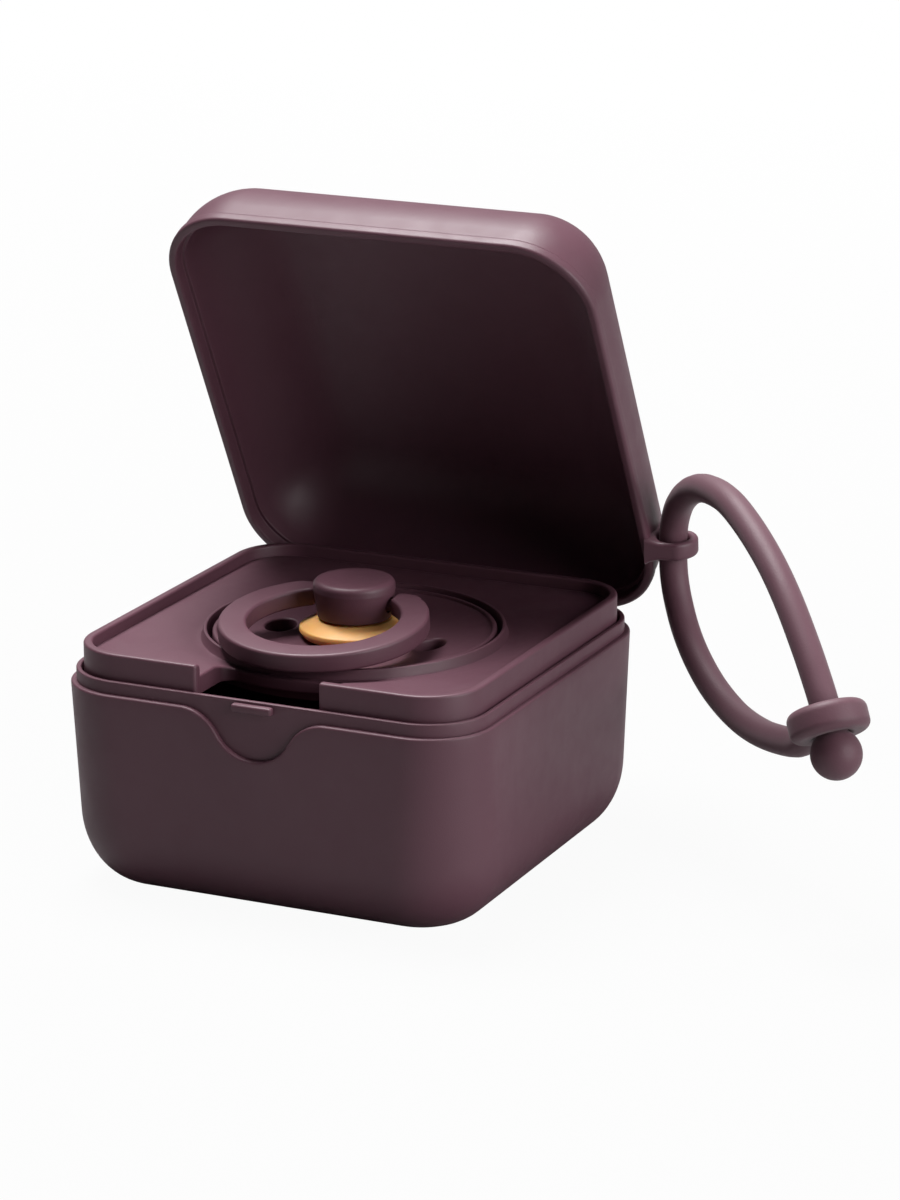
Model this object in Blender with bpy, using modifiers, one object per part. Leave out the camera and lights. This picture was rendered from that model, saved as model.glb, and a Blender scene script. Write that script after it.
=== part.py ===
"""Pacifier steriliser case with its pacifier, standing open, in metres with +Z up.

The origin is the middle of the base's flat underside. +X is the side with the strap, -Y the
front with the thumb dip, and the lid's hinge lies along X at the back.
"""

import math

import bmesh
import bpy
from mathutils import Matrix, Vector

# Clearances and counts shared by all pieces
GAP = 0.0003
RUNNING_GAP = 0.00035
OVERRUN = 0.002
CORNER_STEPS = 7
FILLET_STEPS = 5
TURNED_STEPS = 44
SMALL_TURNED_STEPS = 28
MERGE = 0.00001

# Base: a square tub with a stepped rim
TUB_HALF = 0.0335
TUB_HEIGHT = 0.0311
TUB_RIM_CORNER = 0.01014
TUB_FOOT_CORNER = 0.01283
TUB_DRAFT = 0.0005
FOOT_FILLET_WIDTH = 0.00823
FOOT_FILLET_HEIGHT = 0.01092
FLOOR = 0.0018
SHOULDER = 0.00082
SPIGOT_WALL = 0.00075
SPIGOT_RISE = 0.00193
RIM_EDGE = 0.0002
TUB_WALL = SHOULDER + SPIGOT_WALL
SPIGOT_TOP = TUB_HEIGHT + SPIGOT_RISE

# Thumb dip and catch at the front of the base
DIP_HALF = 0.0116
DIP_DEPTH = 0.00683
CATCH_HALF = 0.0032
CATCH_HEIGHT = 0.0012
CATCH_REACH = 0.0010
CATCH_EDGE = 0.00035

# Ribs inside the base that carry the tray
RIB_PLACE = 0.0140
RIB_THICKNESS = 0.0015
RIB_DEPTH = 0.0022

# Tray: a lift-out insert with a raised lip, a dish, a seat for the pacifier and a notch
TRAY_RISE = 0.00377
TRAY_CORNER_INSET = 0.0003
SKIRT_DEPTH = 0.0093
LIP_WIDTH = 0.00135
LIP_RISE = 0.0018
LIP_EDGE = 0.0004
PLATE = 0.0029
CREASE_RADIUS = 0.0276
DISH_DEPTH = 0.0010
DISH_FLAT_RADIUS = 0.0238
TRAY_HALF = TUB_HALF - TUB_WALL - GAP
TRAY_TOP = SPIGOT_TOP + TRAY_RISE
BORDER_TOP = TRAY_TOP - LIP_RISE
DISH_FLOOR = BORDER_TOP - DISH_DEPTH
PLATE_UNDER = BORDER_TOP - PLATE
SKIRT_BOTTOM = TRAY_TOP - SKIRT_DEPTH
RIB_TOP = SKIRT_BOTTOM - GAP

NOTCH_HALF = 0.0098
NOTCH_FILLET = 0.0018
NOTCH_LEDGE = 0.00158

# Shield of the pacifier: a round saucer that opens upwards
SHIELD_RADIUS = 0.0211
SHIELD_THICKNESS = 0.0019
SHIELD_SAG = 0.0012
SHIELD_FLAT_RADIUS = 0.0086
BEAD_WIDTH = 0.0009
BEAD_RISE = 0.00025
VENT_PLACE = 0.0123
VENT_WIDTH = 0.0042
VENT_LENGTH = 0.0065
SHIELD_HOLE_RADIUS = 0.0055
SAUCER_STEPS = 4

# Seat ring of the tray, which the shield drops into
SEAT_PLAY = 0.00077
SEAT_WALL = 0.00055
SEAT_RISE = 0.00143
SEAT_FOOT_FLARE = 0.0004
SEAT_LEDGE_RADIUS = 0.0175
SEAT_LEDGE_DROP = 0.0018
SEAT_LEDGE_THICKNESS = 0.0015
SEAT_INNER = SHIELD_RADIUS + SEAT_PLAY
SEAT_OUTER = SEAT_INNER + SEAT_WALL
SEAT_FOOT = SEAT_OUTER + SEAT_FOOT_FLARE
NOTCH_BACK_RADIUS = SEAT_OUTER + NOTCH_LEDGE
SEAT_TOP = DISH_FLOOR + SEAT_RISE
LEDGE_TOP = DISH_FLOOR - SEAT_LEDGE_DROP
LEDGE_UNDER = LEDGE_TOP - SEAT_LEDGE_THICKNESS
SHIELD_UNDER = LEDGE_TOP + GAP
SHIELD_CENTRE_TOP = SHIELD_UNDER + SHIELD_THICKNESS - SHIELD_SAG * (SEAT_LEDGE_RADIUS / SHIELD_RADIUS) ** 2

# Nipple of natural rubber, hollow, with a collar over the shield
COLLAR_RADIUS = 0.0084
COLLAR_UNDER_RADIUS = 0.0076
COLLAR_EDGE = 0.0005
COLLAR_SIDE = 0.0014
COLLAR_RISE = 0.0012
NECK_RADIUS = 0.0049
FLANGE_RADIUS = 0.0066
FLANGE_THICKNESS = 0.0012
WAIST_RADIUS = 0.0043
WAIST_DROP = 0.0070
BULB_RADIUS = 0.0072
BULB_DROP = 0.0182
RUBBER_WALL = 0.0013
COLLAR_UNDER = SHIELD_CENTRE_TOP + GAP
COLLAR_SHOULDER = COLLAR_UNDER + COLLAR_SIDE
COLLAR_TOP = COLLAR_SHOULDER + COLLAR_RISE
SHIELD_CENTRE_UNDER = SHIELD_CENTRE_TOP - SHIELD_THICKNESS
FLANGE_TOP = SHIELD_CENTRE_UNDER - GAP
BULB_CENTRE = SHIELD_CENTRE_UNDER - BULB_DROP

# Knob, whose stem plugs the nipple
KNOB_FOOT_RADIUS = 0.0053
KNOB_WIDE_RADIUS = 0.0061
KNOB_HEIGHT = 0.0058
KNOB_EDGE = 0.0008
KNOB_DISH = 0.0003
STEM_RADIUS = NECK_RADIUS - RUBBER_WALL - GAP
STEM_LENGTH = 0.0068
KNOB_FOOT = COLLAR_TOP + GAP
KNOB_TOP = KNOB_FOOT + KNOB_HEIGHT

# Ring handle, a flat C whose ends pin into the knob's sides
HANDLE_OVERHANG = 0.00324
HANDLE_BACK = 0.0053
HANDLE_WIDTH = 0.00421
HANDLE_THICKNESS = 0.0028
HANDLE_EDGE = 0.0007
HANDLE_BEHIND = 0.0020
HANDLE_END_ROUND = 0.0018
HANDLE_PIN_DROP = 0.0035
HANDLE_PIN_RADIUS = 0.0009
HANDLE_PIN_LENGTH = 0.0017
HANDLE_PIVOT = KNOB_TOP - HANDLE_PIN_DROP
HANDLE_END = KNOB_WIDE_RADIUS + GAP
HANDLE_REACH = SEAT_OUTER + HANDLE_OVERHANG
HANDLE_OUTER = (HANDLE_REACH + HANDLE_BACK) / 2
HANDLE_INNER = HANDLE_OUTER - HANDLE_WIDTH
HANDLE_CENTRE = HANDLE_REACH - HANDLE_OUTER
SEAT_MIDDLE = SEAT_INNER + SEAT_WALL / 2
HANDLE_TILT = math.atan2(HANDLE_PIVOT - HANDLE_THICKNESS / 2 - GAP - SEAT_TOP, SEAT_MIDDLE)

# Lid, described closed: heights from its rim plane, places from its centre
LID_SIDE_OVERHANG = 0.00125
LID_BACK_OVERHANG = 0.00189
LID_HALF_WIDTH = TUB_HALF + LID_SIDE_OVERHANG
LID_HALF_DEPTH = TUB_HALF + LID_BACK_OVERHANG
LID_CORNER = 0.01136
LID_DEPTH = 0.01727
LID_DRAFT = 0.0011
LID_FILLET = 0.01328
CROWN_CORNER = 0.0050
LID_WALL = 0.0016
BAND_HEIGHT = 0.0017
BAND_PROUD = 0.0003
BAND_EDGE = 0.0003
RIM_WIDTH = 0.00137
REBATE_DEPTH = 0.0020
REBATE_STEP = 0.0006
LID_OPEN = math.radians(62.97)
LID_RIM = TUB_HEIGHT + GAP

# Hinge at the back
HINGE_DROP = 0.00085
HINGE_INSET = 0.00031
KNUCKLE_RADIUS = 0.0016
LID_KNUCKLE_HALF = 0.0087
BASE_KNUCKLE_LENGTH = 0.0050
PIN_RADIUS = 0.0007
PIN_INSET = 0.0004
KNUCKLE_GUSSET = 0.0050
HINGE_Y = LID_HALF_DEPTH - HINGE_INSET
HINGE_Z = LID_RIM - HINGE_DROP
BASE_KNUCKLE_START = LID_KNUCKLE_HALF + GAP
BASE_KNUCKLE_END = BASE_KNUCKLE_START + BASE_KNUCKLE_LENGTH
PIN_HALF = BASE_KNUCKLE_END - PIN_INSET

# Strap of silicone: its cord, its eyelet and the ball that locks in the eyelet
CORD_DIAMETER = 0.0043
CORD_RADIUS = CORD_DIAMETER / 2
EYELET_OUTER = 0.0060
EYELET_EDGE = 0.0010
EYELET_BOSS = 0.0072
BALL_RADIUS = 0.0037
BALL_NECK = 0.0010
EYELET_INNER = CORD_RADIUS + GAP
EYELET_PLACE = (0.0555, -0.0109)
EYELET_AXIS_ANGLE = math.radians(-57.3)
STRAP_YAW = math.radians(-44.9)
STRAP_LEAN = math.radians(1.7)

# Lug on the lid's right wall, which the strap passes through
LUG_HOLE_RADIUS = CORD_RADIUS + RUNNING_GAP
LUG_BAR = 0.0013
LUG_THICKNESS = 0.0028
LUG_EDGE = 0.0004
LUG_REACH = 0.00255
LUG_ALONG = 0.0227
LUG_UP = 0.0030
LUG_ROOT_HALF = 0.0052
LUG_TURN = math.radians(-22.4)
LUG_OUTER = LUG_HOLE_RADIUS + LUG_BAR

# The cord's own route from the ball through the eyelet, over, down through the lug and back
# below to the eyelet's boss: distance out from the lug, and height above it
CORD_ROUTE = (
    (0.0540, -0.0085),
    (0.0516, -0.0057),
    (0.0478, -0.0018),
    (0.0421, 0.0032),
    (0.0360, 0.0072),
    (0.0285, 0.0105),
    (0.0210, 0.0124),
    (0.0135, 0.0122),
    (0.0078, 0.0105),
    (0.0035, 0.0077),
    (0.0011, 0.0045),
    (0.0001, 0.0012),
    (-0.0001, -0.0018),
    (0.0002, -0.0050),
    (0.0015, -0.0083),
    (0.0043, -0.0122),
    (0.0087, -0.0156),
    (0.0151, -0.0184),
    (0.0235, -0.0200),
    (0.0320, -0.0199),
    (0.0400, -0.0186),
    (0.0458, -0.0170),
)
CORD_SPAN_STEPS = 2

# Colours, roughness and metallic
PLASTIC = ("plum_plastic", (0.105, 0.062, 0.080), 0.5, 0.0)
SILICONE = ("plum_silicone", (0.110, 0.066, 0.084), 0.55, 0.0)
RUBBER = ("natural_rubber", (0.50, 0.22, 0.05), 0.4, 0.0)
STEEL = ("pin_steel", (0.55, 0.55, 0.56), 0.3, 1.0)


def clear_scene():
    for obj in list(bpy.data.objects):
        bpy.data.objects.remove(obj, do_unlink=True)


def new_collection(name):
    collection = bpy.data.collections.new(name)
    bpy.context.scene.collection.children.link(collection)
    return collection


def new_material(name, colour, roughness, metallic):
    material = bpy.data.materials.new(name)
    material.use_nodes = True
    shader = material.node_tree.nodes["Principled BSDF"]
    shader.inputs["Base Color"].default_value = (*colour, 1)
    shader.inputs["Roughness"].default_value = roughness
    shader.inputs["Metallic"].default_value = metallic
    material.diffuse_color = (*colour, 1)
    return material


clear_scene()
CASE = new_collection("pacifier_steriliser_case")
CUTTERS = new_collection("cutters")
CUTTERS.hide_render = True
MATERIALS = {look[0]: new_material(*look) for look in (PLASTIC, SILICONE, RUBBER, STEEL)}


def place(obj, pivot):
    """Hangs an object that is drawn in the pivot's resting frame on the pivot."""
    obj.parent = pivot
    return obj


def new_pivot(name, location, rotation):
    """An empty on a joint's axis: what hangs on it is drawn about that point."""
    pivot = bpy.data.objects.new(name, None)
    pivot.location = location
    pivot.rotation_euler = rotation
    pivot.empty_display_size = KNOB_WIDE_RADIUS
    CASE.objects.link(pivot)
    return pivot


def new_piece(name, mesh, look, pivot=None):
    obj = bpy.data.objects.new(name, mesh)
    mesh.materials.append(MATERIALS[look[0]])
    CASE.objects.link(obj)
    return place(obj, pivot)


def new_cutter(name, mesh, pivot=None):
    obj = bpy.data.objects.new(name, mesh)
    obj.hide_render = True
    obj.display_type = "WIRE"
    CUTTERS.objects.link(obj)
    return place(obj, pivot)


def combine(obj, other, operation):
    modifier = obj.modifiers.new(f"{operation.lower()} {other.name}", "BOOLEAN")
    modifier.object = other
    modifier.operation = operation
    modifier.solver = "EXACT"


def cut(obj, cutter):
    combine(obj, cutter, "DIFFERENCE")


def join(obj, other):
    combine(obj, other, "UNION")


def to_mesh(name, shape):
    """Turns a bmesh into a mesh with its faces out and its round faces smooth."""
    bmesh.ops.recalc_face_normals(shape, faces=shape.faces)
    mesh = bpy.data.meshes.new(name)
    shape.to_mesh(mesh)
    shape.free()
    mesh.shade_smooth()
    mesh.set_sharp_from_angle(angle=math.radians(35))
    return mesh


def arc(centre, radius, start, end, steps):
    """Points along an arc in a plane, from one angle in degrees to another."""
    points = []
    for step in range(steps + 1):
        angle = math.radians(start + (end - start) * step / steps)
        points.append((centre[0] + radius * math.cos(angle), centre[1] + radius * math.sin(angle)))
    return points


def rounded_ring(half_x, half_y, corner, height):
    """A level ring of points: a rectangle with round corners about the Z axis."""
    corner = max(min(corner, half_x, half_y), MERGE)
    points = []
    for index, (side_x, side_y) in enumerate(((1, 1), (-1, 1), (-1, -1), (1, -1))):
        centre = (side_x * (half_x - corner), side_y * (half_y - corner))
        for x, y in arc(centre, corner, index * 90, index * 90 + 90, CORNER_STEPS):
            points.append((x, y, height))
    return points


def loft(name, rings):
    """A closed body through level rings, capped at the first and the last."""
    shape = bmesh.new()
    loops = [[shape.verts.new(point) for point in ring] for ring in rings]
    count = len(loops[0])
    for lower, upper in zip(loops, loops[1:]):
        for index in range(count):
            after = (index + 1) % count
            shape.faces.new((lower[index], lower[after], upper[after], upper[index]))
    shape.faces.new(loops[0][::-1])
    shape.faces.new(loops[-1])
    return to_mesh(name, shape)


def prism(name, outline, start, end, frame=Matrix()):
    """A flat outline in X and Y carried along Z, then set in a frame."""
    shape = bmesh.new()
    low = [shape.verts.new((x, y, start)) for x, y in outline]
    high = [shape.verts.new((x, y, end)) for x, y in outline]
    for index in range(len(outline)):
        after = (index + 1) % len(outline)
        shape.faces.new((low[index], low[after], high[after], high[index]))
    shape.faces.new(low[::-1])
    shape.faces.new(high)
    shape.transform(frame)
    return to_mesh(name, shape)


def rod(name, radius, start, end, frame=Matrix()):
    """A cylinder along Z, then set in a frame."""
    shape = bmesh.new()
    middle = Matrix.Translation((0, 0, (start + end) / 2))
    bmesh.ops.create_cone(
        shape,
        cap_ends=True,
        segments=SMALL_TURNED_STEPS,
        radius1=radius,
        radius2=radius,
        depth=end - start,
        matrix=frame @ middle,
    )
    return to_mesh(name, shape)


def turned(name, profile):
    """A closed profile for a Screw modifier, run down its outer side; edges on the axis are left out."""
    mesh = bpy.data.meshes.new(name)
    count = len(profile)
    pairs = [(index, (index + 1) % count) for index in range(count)]
    edges = [(start, end) for start, end in pairs if profile[start][0] or profile[end][0]]
    mesh.from_pydata([(radius, 0, height) for radius, height in profile], edges, [])
    return mesh


def spin(obj, steps=TURNED_STEPS):
    modifier = obj.modifiers.new("turned", "SCREW")
    modifier.steps = steps
    modifier.render_steps = steps
    modifier.use_merge_vertices = True
    modifier.merge_threshold = MERGE
    modifier.use_smooth_shade = True
    return obj


def round_edges(obj, width, segments=1):
    modifier = obj.modifiers.new("rounded edges", "BEVEL")
    modifier.width = width
    modifier.segments = segments
    modifier.limit_method = "ANGLE"
    modifier.angle_limit = math.radians(50)
    return obj


ALONG_X = Matrix(((0, 0, 1, 0), (1, 0, 0, 0), (0, 1, 0, 0), (0, 0, 0, 1)))


def tub_corner(inset, height):
    share = min(max(height / TUB_HEIGHT, 0), 1)
    return TUB_RIM_CORNER * share + TUB_FOOT_CORNER * (1 - share) - inset


def tub_ring(inset, height):
    half = TUB_HALF - inset
    return rounded_ring(half, half, tub_corner(inset, height), height)


def tub_foot(depth, floor):
    """(inset, height) up the round foot of a surface that lies this deep in the tub's wall."""
    leaning = TUB_DRAFT * (1 - FOOT_FILLET_HEIGHT / TUB_HEIGHT)
    points = []
    for step in range(FILLET_STEPS + 1):
        turn = math.radians(90 * (1 - step / FILLET_STEPS))
        inset = leaning + depth + (FOOT_FILLET_WIDTH - depth) * (1 - math.cos(turn))
        points.append((inset, floor + (FOOT_FILLET_HEIGHT - floor) * (1 - math.sin(turn))))
    return points


def tub_mesh():
    outside = tub_foot(0, 0)
    rim = [
        (0, TUB_HEIGHT - RIM_EDGE),
        (RIM_EDGE, TUB_HEIGHT),
        (SHOULDER, TUB_HEIGHT),
        (SHOULDER, SPIGOT_TOP - RIM_EDGE),
        (SHOULDER + RIM_EDGE, SPIGOT_TOP),
        (TUB_WALL - RIM_EDGE, SPIGOT_TOP),
        (TUB_WALL, SPIGOT_TOP - RIM_EDGE),
        (TUB_WALL, TUB_HEIGHT),
    ]
    inside = tub_foot(TUB_WALL, FLOOR)[::-1]
    return loft("base", [tub_ring(*station) for station in outside + rim + inside])


def dip_outline():
    """The thumb dip seen from the front: an arc below, and one on each side that meets the rim."""
    radius = (DIP_HALF**2 / DIP_DEPTH + DIP_DEPTH) / 4
    turn = math.degrees(math.asin(DIP_HALF / (2 * radius)))
    bottom = TUB_HEIGHT - DIP_DEPTH
    left = arc((-DIP_HALF, TUB_HEIGHT - radius), radius, 90, 90 - turn, FILLET_STEPS)
    middle = arc((0, bottom + radius), radius, -90 - turn, -90 + turn, 2 * FILLET_STEPS)
    right = arc((DIP_HALF, TUB_HEIGHT - radius), radius, 90 + turn, 90, FILLET_STEPS)
    over = SPIGOT_TOP + OVERRUN
    return [(-DIP_HALF, over)] + left + middle[1:-1] + right + [(DIP_HALF, over)]


def rib_outline():
    """One rib seen from the side: inset from the tub's outer face, and height."""
    inner = TUB_WALL + RIB_DEPTH
    buried = [point for point in tub_foot(TUB_WALL / 2, FLOOR / 2) if point[0] < inner]
    foot = buried[0][1]
    return [(inner, foot)] + buried + [(TUB_WALL / 2, RIB_TOP), (inner, RIB_TOP)]


def add_ribs(base):
    upright = Matrix(((1, 0, 0, 0), (0, 0, -1, 0), (0, 1, 0, 0), (0, 0, 0, 1)))
    outline = [(TUB_HALF - inset, height) for inset, height in rib_outline()]
    for wall in range(4):
        for side in (-1, 1):
            middle = side * RIB_PLACE
            frame = Matrix.Rotation(math.radians(90 * wall), 4, "Z") @ upright
            start = middle - RIB_THICKNESS / 2
            mesh = prism(f"rib_{wall}_{side}", outline, start, start + RIB_THICKNESS, frame)
            join(base, new_cutter(mesh.name, mesh))


def gusset_outline():
    """The web below a base knuckle seen along X, from inside the tub's wall to the barrel."""
    wall = TUB_HALF - SHOULDER / 2
    barrel = arc((HINGE_Y, HINGE_Z), KNUCKLE_RADIUS, -40, 90, FILLET_STEPS)
    return [(wall, HINGE_Z - KNUCKLE_RADIUS - KNUCKLE_GUSSET)] + barrel + [(HINGE_Y, HINGE_Z), (wall, HINGE_Z)]


def add_base_knuckles(base):
    axis = Matrix.Translation((0, HINGE_Y, HINGE_Z)) @ ALONG_X
    for side in (-1, 1):
        ends = sorted((side * BASE_KNUCKLE_START, side * BASE_KNUCKLE_END))
        barrel = rod(f"knuckle_{side}", KNUCKLE_RADIUS, *ends, axis)
        join(base, new_cutter(barrel.name, barrel))
        web = prism(f"knuckle_web_{side}", gusset_outline(), *ends, ALONG_X)
        join(base, new_cutter(web.name, web))
    relief = rod("lid_knuckle_relief", KNUCKLE_RADIUS + RUNNING_GAP, -BASE_KNUCKLE_START, BASE_KNUCKLE_START, axis)
    cut(base, new_cutter(relief.name, relief))
    reach = BASE_KNUCKLE_END + OVERRUN
    bore = rod("base_pin_bore", PIN_RADIUS + GAP, -reach, reach, axis)
    cut(base, new_cutter(bore.name, bore))


def add_catch(base):
    """A small rounded tab on the front of the spigot, over the thumb dip."""
    front = TUB_HALF - SHOULDER
    shape = bmesh.new()
    size = (2 * CATCH_HALF, CATCH_REACH + SPIGOT_WALL / 2, CATCH_HEIGHT)
    middle = (0, -front + SPIGOT_WALL / 2 - size[1] / 2, TUB_HEIGHT + GAP + CATCH_HEIGHT / 2)
    scale = Matrix.Diagonal((*size, 1))
    bmesh.ops.create_cube(shape, size=1, matrix=Matrix.Translation(middle) @ scale)
    tab = new_cutter("catch_tab", to_mesh("catch_tab", shape))
    round_edges(tab, CATCH_EDGE)
    join(base, tab)


def make_base():
    base = new_piece("base", tub_mesh(), PLASTIC)
    standing = Matrix(((1, 0, 0, 0), (0, 0, 1, 0), (0, 1, 0, 0), (0, 0, 0, 1)))
    face = TUB_HALF - SHOULDER
    dip = prism("thumb_dip", dip_outline(), -TUB_HALF - OVERRUN, -face, standing)
    cut(base, new_cutter(dip.name, dip))
    add_catch(base)
    add_ribs(base)
    add_base_knuckles(base)
    return base


def make_hinge_pin():
    axis = Matrix.Translation((0, HINGE_Y, HINGE_Z)) @ ALONG_X
    return new_piece("hinge_pin", rod("hinge_pin", PIN_RADIUS, -PIN_HALF, PIN_HALF, axis), STEEL)


def tray_ring(inset, height):
    half = TRAY_HALF - inset
    corner = TUB_RIM_CORNER - TUB_WALL - GAP + TRAY_CORNER_INSET
    return rounded_ring(half, half, corner - inset, height)


def tray_mesh():
    stations = [
        (LIP_WIDTH, PLATE_UNDER),
        (LIP_WIDTH, SKIRT_BOTTOM),
        (0, SKIRT_BOTTOM),
        (0, TRAY_TOP - LIP_EDGE),
        (LIP_EDGE * (1 - math.sqrt(0.5)), TRAY_TOP - LIP_EDGE * (1 - math.sqrt(0.5))),
        (LIP_EDGE, TRAY_TOP),
        (LIP_WIDTH - LIP_EDGE, TRAY_TOP),
        (LIP_WIDTH, TRAY_TOP - LIP_EDGE),
        (LIP_WIDTH, BORDER_TOP),
    ]
    return loft("tray", [tray_ring(*station) for station in stations])


def dish_profile():
    slope = (CREASE_RADIUS - DISH_FLAT_RADIUS) / DISH_DEPTH
    over = LIP_RISE / 4
    return [(0, BORDER_TOP + over), (CREASE_RADIUS + slope * over, BORDER_TOP + over),
            (DISH_FLAT_RADIUS, DISH_FLOOR), (0, DISH_FLOOR)]


def seat_profile():
    edge = SEAT_WALL / 3
    return [
        (SEAT_INNER + edge, SEAT_TOP),
        (SEAT_OUTER - edge, SEAT_TOP),
        (SEAT_OUTER, SEAT_TOP - edge),
        (SEAT_FOOT, DISH_FLOOR - edge),
        (SEAT_FOOT, LEDGE_UNDER),
        (SEAT_LEDGE_RADIUS, LEDGE_UNDER),
        (SEAT_LEDGE_RADIUS, LEDGE_TOP),
        (SEAT_INNER, LEDGE_TOP),
        (SEAT_INNER, SEAT_TOP - edge),
    ]


def notch_outline():
    """The notch from above: straight sides, round back corners and a back edge about the seat."""
    corner_x = NOTCH_HALF - NOTCH_FILLET
    corner_y = -math.sqrt((NOTCH_BACK_RADIUS + NOTCH_FILLET) ** 2 - corner_x**2)
    meeting = math.degrees(math.atan2(corner_x, -corner_y))
    right = arc((corner_x, corner_y), NOTCH_FILLET, 0, 90 + meeting, FILLET_STEPS)
    back = arc((0, 0), NOTCH_BACK_RADIUS, -90 + meeting, -90 - meeting, 2 * FILLET_STEPS)
    left = arc((-corner_x, corner_y), NOTCH_FILLET, 90 - meeting, 180, FILLET_STEPS)
    front = -TRAY_HALF - OVERRUN
    return [(NOTCH_HALF, front)] + right[:-1] + back + left[1:] + [(-NOTCH_HALF, front)]


def make_tray():
    tray = new_piece("tray", tray_mesh(), PLASTIC)
    dish = spin(new_cutter("dish", turned("dish", dish_profile())))
    cut(tray, dish)
    hole = rod("seat_hole", SEAT_MIDDLE, LEDGE_UNDER - OVERRUN, TRAY_TOP + OVERRUN)
    cut(tray, new_cutter(hole.name, hole))
    join(tray, spin(new_cutter("seat", turned("seat", seat_profile()))))
    notch = prism("notch", notch_outline(), SKIRT_BOTTOM - OVERRUN, TRAY_TOP + OVERRUN)
    cut(tray, new_cutter(notch.name, notch))
    return tray


def shield_profile():
    """The saucer's top from the hole out to its bead, its round edge, and its underside."""
    top = []
    bead_start = SHIELD_RADIUS - BEAD_WIDTH
    for step in range(SAUCER_STEPS + 1):
        radius = SHIELD_HOLE_RADIUS + (bead_start - SHIELD_HOLE_RADIUS) * step / SAUCER_STEPS
        top.append((radius, shield_height(radius)))
    rim = shield_height(SHIELD_RADIUS)
    edge = BEAD_WIDTH / 3
    bead = [
        (bead_start + edge, rim + BEAD_RISE),
        (SHIELD_RADIUS - edge, rim + BEAD_RISE),
        (SHIELD_RADIUS, rim - edge),
        (SHIELD_RADIUS, rim - SHIELD_THICKNESS + edge),
        (SHIELD_RADIUS - edge, rim - SHIELD_THICKNESS),
    ]
    under = [(radius, height - SHIELD_THICKNESS) for radius, height in reversed(top)]
    return top + bead + under


def shield_height(radius):
    rise = max(radius - SHIELD_FLAT_RADIUS, 0) / (SHIELD_RADIUS - SHIELD_FLAT_RADIUS)
    return SHIELD_CENTRE_TOP + SHIELD_SAG * rise**1.5


def make_shield():
    profile = turned("pacifier_shield", shield_profile())
    shield = spin(new_piece("pacifier_shield", profile, PLASTIC))
    stretch = Matrix.Diagonal((1, VENT_LENGTH / VENT_WIDTH, 1, 1))
    for side in (-1, 1):
        frame = Matrix.Translation((side * VENT_PLACE, 0, 0)) @ stretch
        low = SHIELD_CENTRE_UNDER - OVERRUN
        vent = rod(f"vent_{side}", VENT_WIDTH / 2, low, SHIELD_CENTRE_TOP + SHIELD_SAG + OVERRUN, frame)
        cut(shield, new_cutter(vent.name, vent))
    return shield


def bulb_side(radius, start_radius):
    """Points down the side of the bulb, from where its neck meets it to the bottom."""
    start = 90 - math.degrees(math.asin(min(start_radius / radius, 0.98)))
    return arc((0, BULB_CENTRE), radius, start, -90, 2 * FILLET_STEPS)


def nipple_profile():
    outside = [
        (NECK_RADIUS - RUBBER_WALL, COLLAR_TOP),
        (KNOB_FOOT_RADIUS, COLLAR_TOP),
        (COLLAR_RADIUS - COLLAR_EDGE, COLLAR_SHOULDER + COLLAR_EDGE / 2),
        (COLLAR_RADIUS, COLLAR_SHOULDER - COLLAR_EDGE / 2),
        (COLLAR_UNDER_RADIUS, COLLAR_UNDER),
        (NECK_RADIUS, COLLAR_UNDER),
        (NECK_RADIUS, FLANGE_TOP),
        (FLANGE_RADIUS, FLANGE_TOP),
        (FLANGE_RADIUS, FLANGE_TOP - FLANGE_THICKNESS),
        (WAIST_RADIUS, SHIELD_CENTRE_UNDER - WAIST_DROP),
    ]
    outside += bulb_side(BULB_RADIUS, WAIST_RADIUS)[:-1] + [(0, BULB_CENTRE - BULB_RADIUS)]
    bore = WAIST_RADIUS - RUBBER_WALL
    hollow = BULB_RADIUS - RUBBER_WALL
    inside = [(0, BULB_CENTRE - hollow)] + bulb_side(hollow, bore)[:-1][::-1]
    inside.append((bore, SHIELD_CENTRE_UNDER - WAIST_DROP))
    inside.append((NECK_RADIUS - RUBBER_WALL, SHIELD_CENTRE_UNDER - FLANGE_THICKNESS))
    return outside + inside


def make_nipple():
    return spin(new_piece("nipple", turned("nipple", nipple_profile()), RUBBER), SMALL_TURNED_STEPS)


def knob_profile():
    wide = KNOB_TOP - KNOB_EDGE * 2
    rim = KNOB_WIDE_RADIUS - KNOB_EDGE
    stem_end = KNOB_FOOT - STEM_LENGTH
    return [
        (0, KNOB_TOP - KNOB_DISH),
        (rim / 2, KNOB_TOP - KNOB_DISH * 3 / 4),
        (rim, KNOB_TOP),
        (KNOB_WIDE_RADIUS - KNOB_EDGE / 4, KNOB_TOP - KNOB_EDGE / 2),
        (KNOB_WIDE_RADIUS, wide),
        (KNOB_FOOT_RADIUS, KNOB_FOOT),
        (STEM_RADIUS, KNOB_FOOT),
        (STEM_RADIUS, stem_end + STEM_RADIUS / 4),
        (STEM_RADIUS * 3 / 4, stem_end),
        (0, stem_end),
    ]


def make_knob():
    knob = spin(new_piece("knob", turned("knob", knob_profile()), PLASTIC), SMALL_TURNED_STEPS)
    axis = Matrix.Translation((0, 0, HANDLE_PIVOT)) @ ALONG_X
    for side in (-1, 1):
        ends = sorted((side * (HANDLE_END - HANDLE_PIN_LENGTH - GAP), side * (KNOB_WIDE_RADIUS + OVERRUN)))
        socket = rod(f"pin_socket_{side}", HANDLE_PIN_RADIUS + GAP, *ends, axis)
        cut(knob, new_cutter(socket.name, socket))
    return knob


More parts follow.
